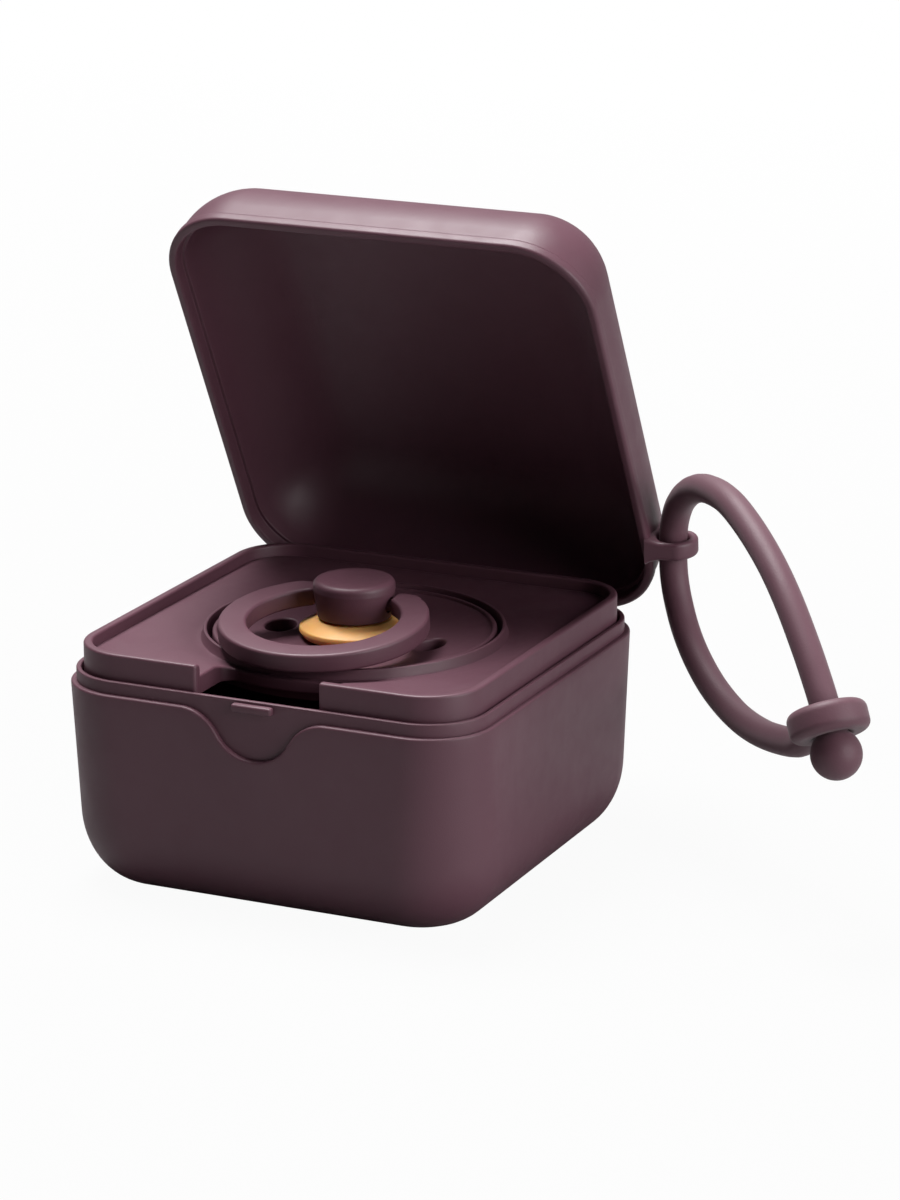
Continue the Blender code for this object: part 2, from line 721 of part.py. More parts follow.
def handle_outline():
    """The C of the handle about its hinge: outer arc, round ends beside the knob, inner arc."""
    corner_reach = HANDLE_OUTER - HANDLE_END_ROUND
    corner_y = HANDLE_BEHIND - HANDLE_END_ROUND
    rise = corner_y + HANDLE_CENTRE
    corner_x = math.sqrt(corner_reach**2 - rise**2)
    turn = math.degrees(math.atan2(rise, corner_x))
    inner_turn = math.degrees(math.acos(HANDLE_END / HANDLE_INNER))
    ring = (0, -HANDLE_CENTRE)
    right = arc((corner_x, corner_y), HANDLE_END_ROUND, 90, turn, FILLET_STEPS)
    outer = arc(ring, HANDLE_OUTER, turn, -180 - turn, 6 * FILLET_STEPS)
    left = arc((-corner_x, corner_y), HANDLE_END_ROUND, 180 - turn, 90, FILLET_STEPS)
    inner = arc(ring, HANDLE_INNER, -180 - inner_turn, inner_turn, 6 * FILLET_STEPS)
    end_left = [(-HANDLE_END, HANDLE_BEHIND)]
    end_right = [(HANDLE_END, HANDLE_BEHIND)]
    return right + outer[1:-1] + left + end_left + inner + end_right


def make_handle():
    pivot = new_pivot("handle_pivot", (0, 0, HANDLE_PIVOT), (HANDLE_TILT, 0, 0))
    half = HANDLE_THICKNESS / 2
    handle = new_piece("ring_handle", prism("ring_handle", handle_outline(), -half, half), PLASTIC, pivot)
    round_edges(handle, HANDLE_EDGE)
    for side in (-1, 1):
        ends = sorted((side * (HANDLE_END - HANDLE_PIN_LENGTH), side * (HANDLE_END + HANDLE_EDGE)))
        stub = rod(f"handle_pin_{side}", HANDLE_PIN_RADIUS, *ends, ALONG_X)
        join(handle, new_cutter(stub.name, stub, pivot))
    return handle


# The lid is drawn closed, about its hinge's axis
LID_CENTRE = Vector((0, -HINGE_Y, LID_RIM - HINGE_Z))


def lid_ring(inset, height):
    left = LID_CORNER - inset
    corner = (left + math.sqrt(left**2 + CROWN_CORNER**2)) / 2
    ring = rounded_ring(LID_HALF_WIDTH - inset, LID_HALF_DEPTH - inset, corner, height)
    return [Vector(point) + LID_CENTRE for point in ring]


def lid_crown(depth, top):
    """(inset, height) up the lid's wall and round its top, this deep in the wall."""
    start = LID_DEPTH - LID_FILLET
    points = []
    for step in range(FILLET_STEPS + 1):
        turn = math.radians(90 * step / FILLET_STEPS)
        lean = BAND_PROUD + (LID_DRAFT - BAND_PROUD) * math.sin(turn)
        inset = depth + lean + (LID_FILLET - depth) * (1 - math.cos(turn))
        points.append((inset, start + (top - start) * math.sin(turn)))
    return points


def lid_mesh():
    outside = [
        (RIM_WIDTH - BAND_EDGE, 0),
        (BAND_EDGE, 0),
        (0, BAND_EDGE),
        (0, BAND_HEIGHT - BAND_EDGE),
        (BAND_PROUD, BAND_HEIGHT),
    ] + lid_crown(0, LID_DEPTH)
    inside = lid_crown(LID_WALL, LID_DEPTH - LID_WALL)[::-1] + [
        (RIM_WIDTH + REBATE_STEP, REBATE_DEPTH + BAND_EDGE),
        (RIM_WIDTH, REBATE_DEPTH),
        (RIM_WIDTH, BAND_EDGE),
    ]
    return shell_loft("lid", [lid_ring(*station) for station in outside], [lid_ring(*station) for station in inside])


def shell_loft(name, outside, inside):
    """A cup: the outside's rings up to its cap, and the inside's from its cap back to the rim."""
    shape = bmesh.new()
    loops = [[shape.verts.new(point) for point in ring] for ring in outside + inside]
    count = len(loops[0])
    split = len(outside)
    pairs = [(index, index + 1) for index in range(len(loops) - 1) if index + 1 != split]
    pairs.append((len(loops) - 1, 0))
    for first, second in pairs:
        for index in range(count):
            after = (index + 1) % count
            shape.faces.new((loops[first][index], loops[first][after], loops[second][after], loops[second][index]))
    shape.faces.new(loops[split - 1])
    shape.faces.new(loops[split])
    return to_mesh(name, shape)


def lug_centre():
    """The lug's hole in the closed lid, about the hinge's axis."""
    return LID_CENTRE + Vector((LID_HALF_WIDTH + LUG_REACH, LUG_ALONG, LUG_UP))


def lug_outline():
    """The lug square to its hole: an eye, and sides that flare to the lid's wall."""
    root = -LUG_REACH - RIM_WIDTH / 2
    turn = 60
    eye = arc((0, 0), LUG_OUTER, -turn, turn, 2 * FILLET_STEPS)
    return eye + [(root, LUG_ROOT_HALF), (root, -LUG_ROOT_HALF)]


def add_lug(lid, pivot):
    """The lug lies square to the strap, whose hole runs along the lug's own Z axis."""
    turn = Matrix.Rotation(math.radians(90) + LUG_TURN, 4, "X")
    frame = Matrix.Translation(lug_centre()) @ turn
    half = LUG_THICKNESS / 2
    lug = new_cutter("strap_lug", prism("strap_lug", lug_outline(), -half, half, frame), pivot)
    round_edges(lug, LUG_EDGE)
    join(lid, lug)
    reach = half + OVERRUN
    hole = rod("strap_hole", LUG_HOLE_RADIUS, -reach, reach, frame)
    cut(lid, new_cutter(hole.name, hole, pivot))


def make_lid():
    pivot = new_pivot("lid_pivot", (0, HINGE_Y, HINGE_Z), (-LID_OPEN, 0, 0))
    lid = new_piece("lid", lid_mesh(), PLASTIC, pivot)
    for side in (-1, 1):
        ends = sorted((side * LID_KNUCKLE_HALF, side * (BASE_KNUCKLE_END + RUNNING_GAP)))
        relief = rod(f"base_knuckle_relief_{side}", KNUCKLE_RADIUS + RUNNING_GAP, *ends, ALONG_X)
        cut(lid, new_cutter(relief.name, relief, pivot))
    barrel = rod("lid_knuckle", KNUCKLE_RADIUS, -LID_KNUCKLE_HALF, LID_KNUCKLE_HALF, ALONG_X)
    join(lid, new_cutter(barrel.name, barrel, pivot))
    reach = LID_KNUCKLE_HALF + OVERRUN
    bore = rod("lid_pin_bore", PIN_RADIUS + GAP, -reach, reach, ALONG_X)
    cut(lid, new_cutter(bore.name, bore, pivot))
    add_lug(lid, pivot)
    return lid


def strap_frame():
    """The strap's plane at rest: X runs out from the lug, Y up, with the origin in the lug."""
    opened = Matrix.Translation((0, HINGE_Y, HINGE_Z)) @ Matrix.Rotation(-LID_OPEN, 4, "X")
    turn = Matrix.Rotation(STRAP_YAW, 4, "Z") @ Matrix.Rotation(math.radians(90) + STRAP_LEAN, 4, "X")
    return Matrix.Translation(opened @ lug_centre()) @ turn


def smooth_route(points, steps):
    """A Catmull-Rom curve through the points, with this many steps to each span."""
    ends = [2 * points[0] - points[1]] + points + [2 * points[-1] - points[-2]]
    route = []
    for before, start, end, after in zip(ends, ends[1:], ends[2:], ends[3:]):
        for step in range(steps):
            share = step / steps
            route.append(
                (
                    2 * start
                    + (end - before) * share
                    + (2 * before - 5 * start + 4 * end - after) * share**2
                    + (3 * start - before - 3 * end + after) * share**3
                )
                / 2
            )
    return route + [points[-1]]


def along_axis(distance):
    """A point on the eyelet's axis in the strap's plane, this far towards the ball."""
    return Vector(
        (
            EYELET_PLACE[0] + distance * math.cos(EYELET_AXIS_ANGLE),
            EYELET_PLACE[1] + distance * math.sin(EYELET_AXIS_ANGLE),
        )
    )


def beside_axis(distance):
    """A point square to the eyelet's axis in the strap's plane, this far towards the lug."""
    return Vector(
        (
            EYELET_PLACE[0] + distance * math.sin(EYELET_AXIS_ANGLE),
            EYELET_PLACE[1] - distance * math.cos(EYELET_AXIS_ANGLE),
        )
    )


EYELET_FILLET_REACH = EYELET_INNER + EYELET_EDGE
BALL_SEAT = CORD_RADIUS - EYELET_EDGE + math.sqrt(
    (BALL_RADIUS + EYELET_EDGE + GAP) ** 2 - EYELET_FILLET_REACH**2
)
NECK_END = BALL_SEAT - BALL_RADIUS - BALL_NECK


def make_strap():
    curve = bpy.data.curves.new("strap", "CURVE")
    curve.dimensions = "3D"
    curve.bevel_depth = CORD_RADIUS
    curve.bevel_resolution = 2
    curve.use_fill_caps = True
    route = [along_axis(NECK_END - GAP)] + [Vector(point) for point in CORD_ROUTE]
    route.append(beside_axis(EYELET_BOSS + GAP))
    points = smooth_route(route, CORD_SPAN_STEPS)
    spline = curve.splines.new("POLY")
    spline.points.add(len(points) - 1)
    frame = strap_frame()
    for control, point in zip(spline.points, points):
        control.co = (*(frame @ Vector((point[0], point[1], 0))), 1)
    curve.materials.append(MATERIALS[SILICONE[0]])
    strap = bpy.data.objects.new("strap", curve)
    CASE.objects.link(strap)
    return strap


def eyelet_profile():
    half = CORD_RADIUS
    edge = EYELET_EDGE
    outer = EYELET_OUTER
    middle = half - edge
    points = arc((outer - edge, middle), edge, 90, 0, FILLET_STEPS // 2)
    points += arc((outer - edge, -middle), edge, 0, -90, FILLET_STEPS // 2)
    points += arc((EYELET_FILLET_REACH, -middle), edge, -90, -180, FILLET_STEPS // 2)
    points += arc((EYELET_FILLET_REACH, middle), edge, 180, 90, FILLET_STEPS // 2)
    return points


def eyelet_frame():
    """The eyelet's centre, with Z along its axis towards the ball and X towards the lug."""
    middle = along_axis(0)
    axis = (along_axis(1) - middle).to_3d()
    side = (beside_axis(1) - middle).to_3d()
    across = axis.cross(side)
    turn = Matrix((side, across, axis)).transposed().to_4x4()
    return strap_frame() @ Matrix.Translation(middle.to_3d()) @ turn


def make_eyelet():
    profile = turned("strap_eyelet", eyelet_profile())
    eyelet = spin(new_piece("strap_eyelet", profile, SILICONE), SMALL_TURNED_STEPS)
    frame = eyelet_frame()
    eyelet.matrix_world = frame
    sideways = Matrix.Rotation(math.radians(90), 4, "Y")
    buried = (EYELET_INNER + EYELET_OUTER) / 2
    boss = new_cutter("strap_boss", rod("strap_boss", CORD_RADIUS - MERGE, buried, EYELET_BOSS, sideways))
    boss.matrix_world = frame
    join(eyelet, boss)
    return eyelet


def make_ball():
    """The ball and the short neck by which it carries on the cord through the eyelet."""
    neck = BALL_RADIUS + BALL_NECK
    meeting = math.degrees(math.asin(CORD_RADIUS / BALL_RADIUS))
    sphere = arc((0, 0), BALL_RADIUS, -90, 90 - meeting, 2 * FILLET_STEPS)
    profile = [(0, neck), (CORD_RADIUS, neck)] + sphere[::-1][:-1] + [(0, -BALL_RADIUS)]
    ball = spin(new_piece("strap_ball", turned("strap_ball", profile), SILICONE), SMALL_TURNED_STEPS)
    turn = Matrix.Rotation(math.radians(180), 4, "X")
    ball.matrix_world = eyelet_frame() @ Matrix.Translation((0, 0, BALL_SEAT)) @ turn
    return ball


make_base()
make_hinge_pin()
make_tray()
make_shield()
make_nipple()
make_knob()
make_handle()
make_lid()
make_strap()
make_eyelet()
make_ball()
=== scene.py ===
import math

import bmesh
import bpy
from mathutils import Matrix, Vector
from mathutils.geometry import delaunay_2d_cdt


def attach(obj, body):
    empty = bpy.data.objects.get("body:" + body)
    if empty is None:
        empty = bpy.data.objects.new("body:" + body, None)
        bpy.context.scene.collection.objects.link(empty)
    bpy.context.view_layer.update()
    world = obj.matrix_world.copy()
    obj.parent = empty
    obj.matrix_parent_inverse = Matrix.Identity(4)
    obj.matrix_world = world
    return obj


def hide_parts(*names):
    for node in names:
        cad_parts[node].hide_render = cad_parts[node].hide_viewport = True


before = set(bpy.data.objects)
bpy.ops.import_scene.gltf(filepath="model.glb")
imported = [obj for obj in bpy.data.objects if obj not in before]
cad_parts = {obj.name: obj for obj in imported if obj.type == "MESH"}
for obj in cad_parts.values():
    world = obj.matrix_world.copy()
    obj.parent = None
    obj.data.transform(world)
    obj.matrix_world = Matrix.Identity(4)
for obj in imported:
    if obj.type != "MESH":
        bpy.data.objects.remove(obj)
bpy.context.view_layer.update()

# Fineness of round shapes
CORNER_STEPS = 20
ROUND_STEPS = 5
CROWN_STEPS = 18
TURNED_STEPS = 144
SMALL_TURNED_STEPS = 96
BORE_STEPS = 48
WALL_RUN = 0.00001
PLAN_SCALE = 1000
SHARP_ANGLE = 32
BARELY_INSIDE = 0.0000005
FIT_GAP = 0.0003

# Base
TUB_HALF = 0.0335
TUB_HEIGHT = 0.0311
TUB_RIM_CORNER = 0.01014
TUB_FOOT_CORNER = 0.01283
TUB_DRAFT = 0.0005
FOOT_WIDTH = 0.00823
FOOT_HEIGHT = 0.01092
FLOOR = 0.0018
SHOULDER = 0.00082
SPIGOT_WALL = 0.00075
SPIGOT_TOP = TUB_HEIGHT + 0.00193
TUB_WALL = SHOULDER + SPIGOT_WALL
RIM_ROUND = 0.00036
SPIGOT_ROUND = 0.00022
DIP_HALF = 0.0116
DIP_DEPTH = 0.00683
CATCH = (0.0032, 0.0010, 0.0012)
CATCH_FOOT = TUB_HEIGHT + 0.0003
RIB_PLACE = 0.0140
RIB_HALF = 0.00075
RIB_DEPTH = 0.0022
FRONT_SIDE_STEPS = 4
DIP_STEPS = 16
DIP_MARGIN = 0.0030
WALL_RINGS = 6

# Tray
TRAY_HALF = 0.03163
TRAY_CORNER = 0.00857
TRAY_TOP = 0.0368
LIP_WIDTH = 0.00135
LIP_ROUND = 0.0004
BORDER_TOP = 0.0350
DISH_FLOOR = 0.0340
PLATE_UNDER = 0.0321
SKIRT_BOTTOM = 0.0275
CREASE_RADIUS = 0.0276
DISH_RADIUS = 0.0238
SEAT_INNER = 0.02187
SEAT_OUTER = 0.02242
SEAT_FOOT = 0.02282
SEAT_TOP = 0.03543
SEAT_ROUND = 0.00018
SKIRT_ROUND = 0.0003
LEDGE_RADIUS = 0.0175
LEDGE_TOP = 0.0322
LEDGE_UNDER = 0.0307
NOTCH_HALF = 0.0098
NOTCH_FILLET = 0.0018
NOTCH_BACK = 0.0240
NOTCH_MOUTH_ROUND = 0.0005

# Pacifier
SHIELD_RADIUS = 0.0211
SHIELD_THICKNESS = 0.0019
SHIELD_SAG = 0.0012
SHIELD_FLAT = 0.0086
SHIELD_HOLE = 0.0055
SHIELD_TOP = 0.033575
BEAD_WIDTH = 0.0009
BEAD_HEIGHT = 0.00025
SHIELD_EDGE = 0.0004
VENT_PLACE = 0.0123
VENT = (0.0021, 0.00325)
VENT_ROUND = 0.00035
COLLAR_RADIUS = 0.0084
COLLAR_UNDER = SHIELD_TOP + FIT_GAP
COLLAR_SHOULDER = COLLAR_UNDER + 0.0014
COLLAR_TOP = COLLAR_SHOULDER + 0.0012
NECK_RADIUS = 0.0049
RUBBER_WALL = 0.0013
FLANGE_RADIUS = 0.0066
WAIST_RADIUS = 0.0043
BULB_RADIUS = 0.0072
SHIELD_UNDER = SHIELD_TOP - SHIELD_THICKNESS
BULB_CENTRE = SHIELD_UNDER - 0.0182
KNOB_FOOT = COLLAR_TOP + FIT_GAP
KNOB_TOP = KNOB_FOOT + 0.0058
KNOB_FOOT_RADIUS = 0.0055
KNOB_RADIUS = 0.0061
KNOB_DISH = 0.00032
STEM_RADIUS = 0.0033
STEM_END = KNOB_FOOT - 0.0068
HANDLE_PIVOT = KNOB_TOP - 0.0035
HANDLE_OUTER = 0.01548
HANDLE_INNER = 0.01127
HANDLE_CENTRE = 0.01018
HANDLE_HALF = 0.0014
HANDLE_ROUND = 0.0005
HANDLE_BEHIND = 0.0020
HANDLE_END_ROUND = 0.0018
HANDLE_END = KNOB_RADIUS + FIT_GAP
HANDLE_TIP_ROUND = 0.0009
HANDLE_PIN = 0.0009
HANDLE_PIN_LENGTH = 0.0017
HANDLE_DROP = HANDLE_PIVOT - HANDLE_HALF - 0.0003 - SEAT_TOP
HANDLE_TILT = math.atan2(HANDLE_DROP, (SEAT_INNER + SEAT_OUTER) / 2)

# Lid, closed, about its hinge
HINGE = Vector((0, 0.03508, 0.03055))
LID_HALF = (0.03475, 0.03539)
LID_CORNER = 0.01136
LID_DEPTH = 0.01727
LID_DRAFT = 0.0011
LID_FILLET = 0.01328
CROWN_CORNER = 0.0050
LID_WALL = 0.0016
BAND_HEIGHT = 0.0017
BAND_PROUD = 0.0003
RIM_WIDTH = 0.00137
REBATE_DEPTH = 0.0020
REBATE_STEP = 0.0006
LID_OPEN = math.radians(62.97)
LID_CENTRE = Vector((0, -HINGE.y, 0.00085))
KNUCKLE_RADIUS = 0.0016
LID_KNUCKLE_HALF = 0.0087
BASE_KNUCKLE = (0.0090, 0.0140)
PIN_RADIUS = 0.0007
PIN_HALF = 0.0136
BARREL_EDGE = 0.0002
RUNNING_GAP = 0.00035
PIN_GAP = 0.0003

# Strap and its lug
CORD_RADIUS = 0.00215
LUG_HOLE = CORD_RADIUS + RUNNING_GAP
LUG_BAR = 0.0013
LUG_HALF = 0.0014
LUG_ROUND = 0.00063
LUG_REACH = 0.00255
LUG_PLACE = (0.0227, 0.0030)
LUG_TURN = math.radians(-22.4)
LUG_ROOT_HALF = 0.0043
LUG_FLARE = 0.0011
STRAP_YAW = math.radians(-44.9)
STRAP_LEAN = math.radians(1.7)
EYELET_PLACE = Vector((0.0555, -0.0109))
EYELET_ANGLE = math.radians(-57.3)
EYELET_OUTER = 0.0058
EYELET_INNER = CORD_RADIUS + FIT_GAP
EYELET_EDGE = 0.0010
EYELET_RIM = 0.0013
EYELET_BOSS = 0.0072
BALL_RADIUS = 0.0037
BALL_NECK = 0.0010
CORD_SPAN_STEPS = 8
CORD_OVERLAP = 0.0002
CORD_ROUTE = (
    (0.0540, -0.0085), (0.0516, -0.0057), (0.0478, -0.0018), (0.0421, 0.0032), (0.0360, 0.0072),
    (0.0285, 0.0105), (0.0210, 0.0124), (0.0135, 0.0122), (0.0078, 0.0105), (0.0035, 0.0077),
    (0.0011, 0.0045), (0.0001, 0.0012), (-0.0001, -0.0018), (0.0002, -0.0050), (0.0015, -0.0083),
    (0.0043, -0.0122), (0.0087, -0.0156), (0.0151, -0.0184), (0.0235, -0.0200), (0.0320, -0.0199),
    (0.0400, -0.0186), (0.0458, -0.0170),
)

# Camera
CAMERA_TURN = math.radians(25.161)
CAMERA_RISE = math.radians(16.798)
CAMERA_ROLL = math.radians(-0.335)
CAMERA_DISTANCE = 0.66075
CAMERA_FOCAL_SHARE = 4443.6 / 1200
CAMERA_SENSOR = 36
CAMERA_SIDE = 0.01411
CAMERA_LIFT = 0.01390
CAMERA_HEIGHT = 0.02451
CAMERA_CLIP = (0.01, 10)

# Room
FLOOR_PAINT = 0.28
FLOOR_FRONT = -1.8
FLOOR_HALF = 2.0
SWEEP_START = 1.35
SWEEP_RADIUS = 0.25
WALL_HEIGHT = 1.6
CAMERA_GLOW = ("Is Camera Ray", 0.95, 1.0, 0.1, 0.6)
GLOSSY_GLOW = ("Is Glossy Ray", 0.0, 0.25, 0.1, 0.5)
SKY_LEAN = (0.20, 0.85, 0.48)
SKY_LOW = 0.015
SKY_HIGH = 0.42
SOFTBOX_AIM = (0, 0, 0.03)
SOFTBOXES = (
    ("softbox_right", (0.80, -0.12, 0.30), (0.6, 0.6), 6.6),
    ("softbox_top", (-0.19, 0.13, 0.82), (0.46, 0.40), 15.0),
)


def make_camera():
    back = Vector(
        (
            math.cos(CAMERA_RISE) * math.sin(CAMERA_TURN),
            -math.cos(CAMERA_RISE) * math.cos(CAMERA_TURN),
            math.sin(CAMERA_RISE),
        )
    )
    right = Vector((math.cos(CAMERA_TURN), math.sin(CAMERA_TURN), 0))
    up = back.cross(right)
    aim = right * CAMERA_SIDE + up * CAMERA_LIFT + Vector((0, 0, CAMERA_HEIGHT))
    rolled_right = right * math.cos(CAMERA_ROLL) + up * math.sin(CAMERA_ROLL)
    rolled_up = up * math.cos(CAMERA_ROLL) - right * math.sin(CAMERA_ROLL)
    data = bpy.data.cameras.new("camera")
    data.sensor_width = CAMERA_SENSOR
    data.lens = CAMERA_FOCAL_SHARE * CAMERA_SENSOR
    data.clip_start, data.clip_end = CAMERA_CLIP
    camera = bpy.data.objects.new("camera", data)
    turn = Matrix((rolled_right, rolled_up, back)).transposed().to_4x4()
    camera.matrix_world = Matrix.Translation(aim + back * CAMERA_DISTANCE) @ turn
    bpy.context.scene.collection.objects.link(camera)
    bpy.context.scene.camera = camera


# Node helpers for the finishes
def new_finish(name):
    material = bpy.data.materials.new(name)
    material.use_nodes = True
    nodes = material.node_tree.nodes
    shader = next(node for node in nodes if node.type == "BSDF_PRINCIPLED")
    return material, shader


def add_noise(material, coordinate, scale, detail=2.0, roughness=0.5):
    tree = material.node_tree
    noise = tree.nodes.new("ShaderNodeTexNoise")
    noise.inputs["Scale"].default_value = scale
    noise.inputs["Detail"].default_value = detail
    noise.inputs["Roughness"].default_value = roughness
    tree.links.new(coordinate, noise.inputs["Vector"])
    return noise.outputs[0]


def object_coordinate(material):
    return material.node_tree.nodes.new("ShaderNodeTexCoord").outputs["Object"]


def add_range(material, value, low, high, source_low=0.3, source_high=0.7):
    tree = material.node_tree
    fit = tree.nodes.new("ShaderNodeMapRange")
    fit.inputs["From Min"].default_value = source_low
    fit.inputs["From Max"].default_value = source_high
    fit.inputs["To Min"].default_value = low
    fit.inputs["To Max"].default_value = high
    tree.links.new(value, fit.inputs["Value"])
    return fit.outputs["Result"]


def add_blend(material, value, first, second):
    tree = material.node_tree
    blend = tree.nodes.new("ShaderNodeMix")
    blend.data_type = "RGBA"
    for socket in blend.inputs:
        if socket.type == "RGBA":
            if socket.name == "A":
                socket.default_value = (*first, 1)
            if socket.name == "B":
                socket.default_value = (*second, 1)
    tree.links.new(value, blend.inputs[0])
    return next(socket for socket in blend.outputs if socket.type == "RGBA")


def add_bump(material, shader, height, distance, strength):
    tree = material.node_tree
    bump = tree.nodes.new("ShaderNodeBump")
    bump.inputs["Strength"].default_value = strength
    bump.inputs["Distance"].default_value = distance
    tree.links.new(height, bump.inputs["Height"])
    tree.links.new(bump.outputs["Normal"], shader.inputs["Normal"])


def moulded_finish(name, dark, light, roughness, specular, sheen, grain_scale, grain_depth):
    """A matte moulding: a slow cloud in its colour, a spread of roughness, and a fine grain."""
    material, shader = new_finish(name)
    place = object_coordinate(material)
    links = material.node_tree.links
    cloud = add_noise(material, place, 38, 3.0)
    tint = add_blend(material, add_range(material, cloud, 0, 1), dark, light)
    links.new(tint, shader.inputs["Base Color"])
    smear = add_noise(material, place, 240, 4.0, 0.6)
    spread = add_range(material, smear, roughness - 0.05, roughness + 0.05)
    links.new(spread, shader.inputs["Roughness"])
    shader.inputs["Specular IOR Level"].default_value = specular
    shader.inputs["Sheen Weight"].default_value = sheen
    shader.inputs["Sheen Roughness"].default_value = 0.5
    grain = add_noise(material, place, grain_scale, 3.0, 0.65)
    add_bump(material, shader, grain, grain_depth, 0.5)
    return material


def rubber_finish():
    """Natural rubber: amber, a little cloudy, with light that spreads under its surface."""
    material, shader = new_finish("amber_rubber")
    place = object_coordinate(material)
    links = material.node_tree.links
    cloud = add_noise(material, place, 160, 4.0, 0.6)
    blend = add_blend(material, add_range(material, cloud, 0, 1), (0.76, 0.38, 0.12), (0.84, 0.45, 0.15))
    links.new(blend, shader.inputs["Base Color"])
    links.new(add_range(material, cloud, 0.34, 0.46), shader.inputs["Roughness"])
    shader.inputs["Subsurface Weight"].default_value = 0.35
    shader.inputs["Subsurface Radius"].default_value = (1.0, 0.45, 0.12)
    shader.inputs["Subsurface Scale"].default_value = 0.002
    add_bump(material, shader, add_noise(material, place, 900, 3.0), 0.00006, 0.5)
    return material


def steel_finish():
    """Drawn steel wire, with fine lines round it."""
    material, shader = new_finish("drawn_steel")
    place = object_coordinate(material)
    tree = material.node_tree
    mapping = tree.nodes.new("ShaderNodeMapping")
    mapping.inputs["Scale"].default_value = (12, 1, 1)
    tree.links.new(place, mapping.inputs["Vector"])
    lines = add_noise(material, mapping.outputs["Vector"], 700, 3.0)
    tint = add_blend(material, add_range(material, lines, 0, 1), (0.50, 0.50, 0.51), (0.60, 0.60, 0.61))
    tree.links.new(tint, shader.inputs["Base Color"])
    tree.links.new(add_range(material, lines, 0.24, 0.38), shader.inputs["Roughness"])
    shader.inputs["Metallic"].default_value = 1.0
    return material


PLASTIC = moulded_finish(
    "matte_moulding", (0.090, 0.035, 0.051), (0.100, 0.041, 0.058), 0.48, 0.42, 0.0, 5200, 0.00004
)
SILICONE = moulded_finish(
    "soft_silicone", (0.094, 0.037, 0.053), (0.106, 0.044, 0.061), 0.56, 0.40, 0.12, 2600, 0.00005
)
RUBBER = rubber_finish()
STEEL = steel_finish()


# Mesh helpers
def to_mesh(name, shape):
    bmesh.ops.remove_doubles(shape, verts=shape.verts, dist=1e-7)
    bmesh.ops.dissolve_degenerate(shape, edges=shape.edges, dist=1e-8)
    bmesh.ops.recalc_face_normals(shape, faces=shape.faces)
    mesh = bpy.data.meshes.new(name)
    shape.to_mesh(mesh)
    shape.free()
    mesh.shade_smooth()
    mesh.set_sharp_from_angle(angle=math.radians(SHARP_ANGLE))
    return mesh


def arc(centre, radius, start, end, steps):
    points = []
    for step in range(steps + 1):
        angle = math.radians(start + (end - start) * step / steps)
        points.append((centre[0] + radius * math.cos(angle), centre[1] + radius * math.sin(angle)))
    return points


def eased(corners, closed=True, steps=ROUND_STEPS):
    """A path of straight runs whose corners are rounded: each corner is (x, y) or (x, y, radius)."""
    points = []
    count = len(corners)
    for index, corner in enumerate(corners):
        here = Vector(corner[:2])
        radius = corner[2] if len(corner) > 2 else 0
        if not radius or (not closed and index in (0, count - 1)):
            points.append(tuple(here))
            continue
        before = (Vector(corners[index - 1][:2]) - here).normalized()
        after = (Vector(corners[(index + 1) % count][:2]) - here).normalized()
        half = before.angle(after) / 2
        if half > math.radians(89.5):
            points.append(tuple(here))
            continue
        reach = radius / math.tan(half)
        centre = here + (before + after).normalized() * radius / math.sin(half)
        start = here + before * reach - centre
        end = here + after * reach - centre
        swing = start.angle_signed(end)
        for step in range(steps + 1):
            turn = Matrix.Rotation(-swing * step / steps, 2)
            points.append(tuple(centre + turn @ start))
    return points


def lathe(name, profile, steps=TURNED_STEPS):
    """A closed profile of (radius, height), turned about Z."""
    shape = bmesh.new()
    rings = []
    for radius, height in profile:
        if radius < 1e-7:
            rings.append([shape.verts.new((0, 0, height))] * steps)
            continue
        ring = []
        for step in range(steps):
            angle = 2 * math.pi * step / steps
            ring.append(shape.verts.new((radius * math.cos(angle), radius * math.sin(angle), height)))
        rings.append(ring)
    for first, second in zip(rings, rings[1:] + rings[:1]):
        for step in range(steps):
            after = (step + 1) % steps
            corners = [first[step], first[after], second[after], second[step]]
            unique = list(dict.fromkeys(corners))
            if len(unique) > 2:
                shape.faces.new(unique)
    return to_mesh(name, shape)


def loft(name, loops):
    """A body through rings of equal counts, capped at both ends."""
    shape = bmesh.new()
    rings = [[shape.verts.new(point) for point in loop] for loop in loops]
    count = len(rings[0])
    for lower, upper in zip(rings, rings[1:]):
        for index in range(count):
            after = (index + 1) % count
            shape.faces.new((lower[index], lower[after], upper[after], upper[index]))
    shape.faces.new(rings[0][::-1])
    shape.faces.new(rings[-1])
    return to_mesh(name, shape)


def plan_body(name, loops, inside, top, under):
    """A body over a plan: loops are its outlines and creases, inside says what is kept, and top and
    under give the heights at a point."""
    corners = []
    edges = []
    for loop in loops:
        start = len(corners)
        corners += [Vector(point) * PLAN_SCALE for point in loop]
        edges += [(start + index, start + (index + 1) % len(loop)) for index in range(len(loop))]
    found = delaunay_2d_cdt(corners, edges, [], 0, 1e-5)
    points = [point / PLAN_SCALE for point in found[0]]
    faces = []
    for face in found[2]:
        middle = sum((points[index] for index in face), Vector((0, 0))) / len(face)
        if inside(*middle):
            faces.append(face)
    used = sorted({index for face in faces for index in face})
    shape = bmesh.new()
    high = {index: shape.verts.new((*points[index], top(*points[index]))) for index in used}
    low = {index: shape.verts.new((*points[index], under(*points[index]))) for index in used}
    sides = {}
    for face in faces:
        shape.faces.new([high[index] for index in face])
        shape.faces.new([low[index] for index in reversed(face)])
        for pair in zip(face, list(face[1:]) + [face[0]]):
            key = tuple(sorted(pair))
            sides.setdefault(key, []).append(pair)
    for pairs in sides.values():
        if len(pairs) == 1:
            start, end = pairs[0]
            shape.faces.new((high[end], high[start], low[start], low[end]))
    return to_mesh(name, shape)


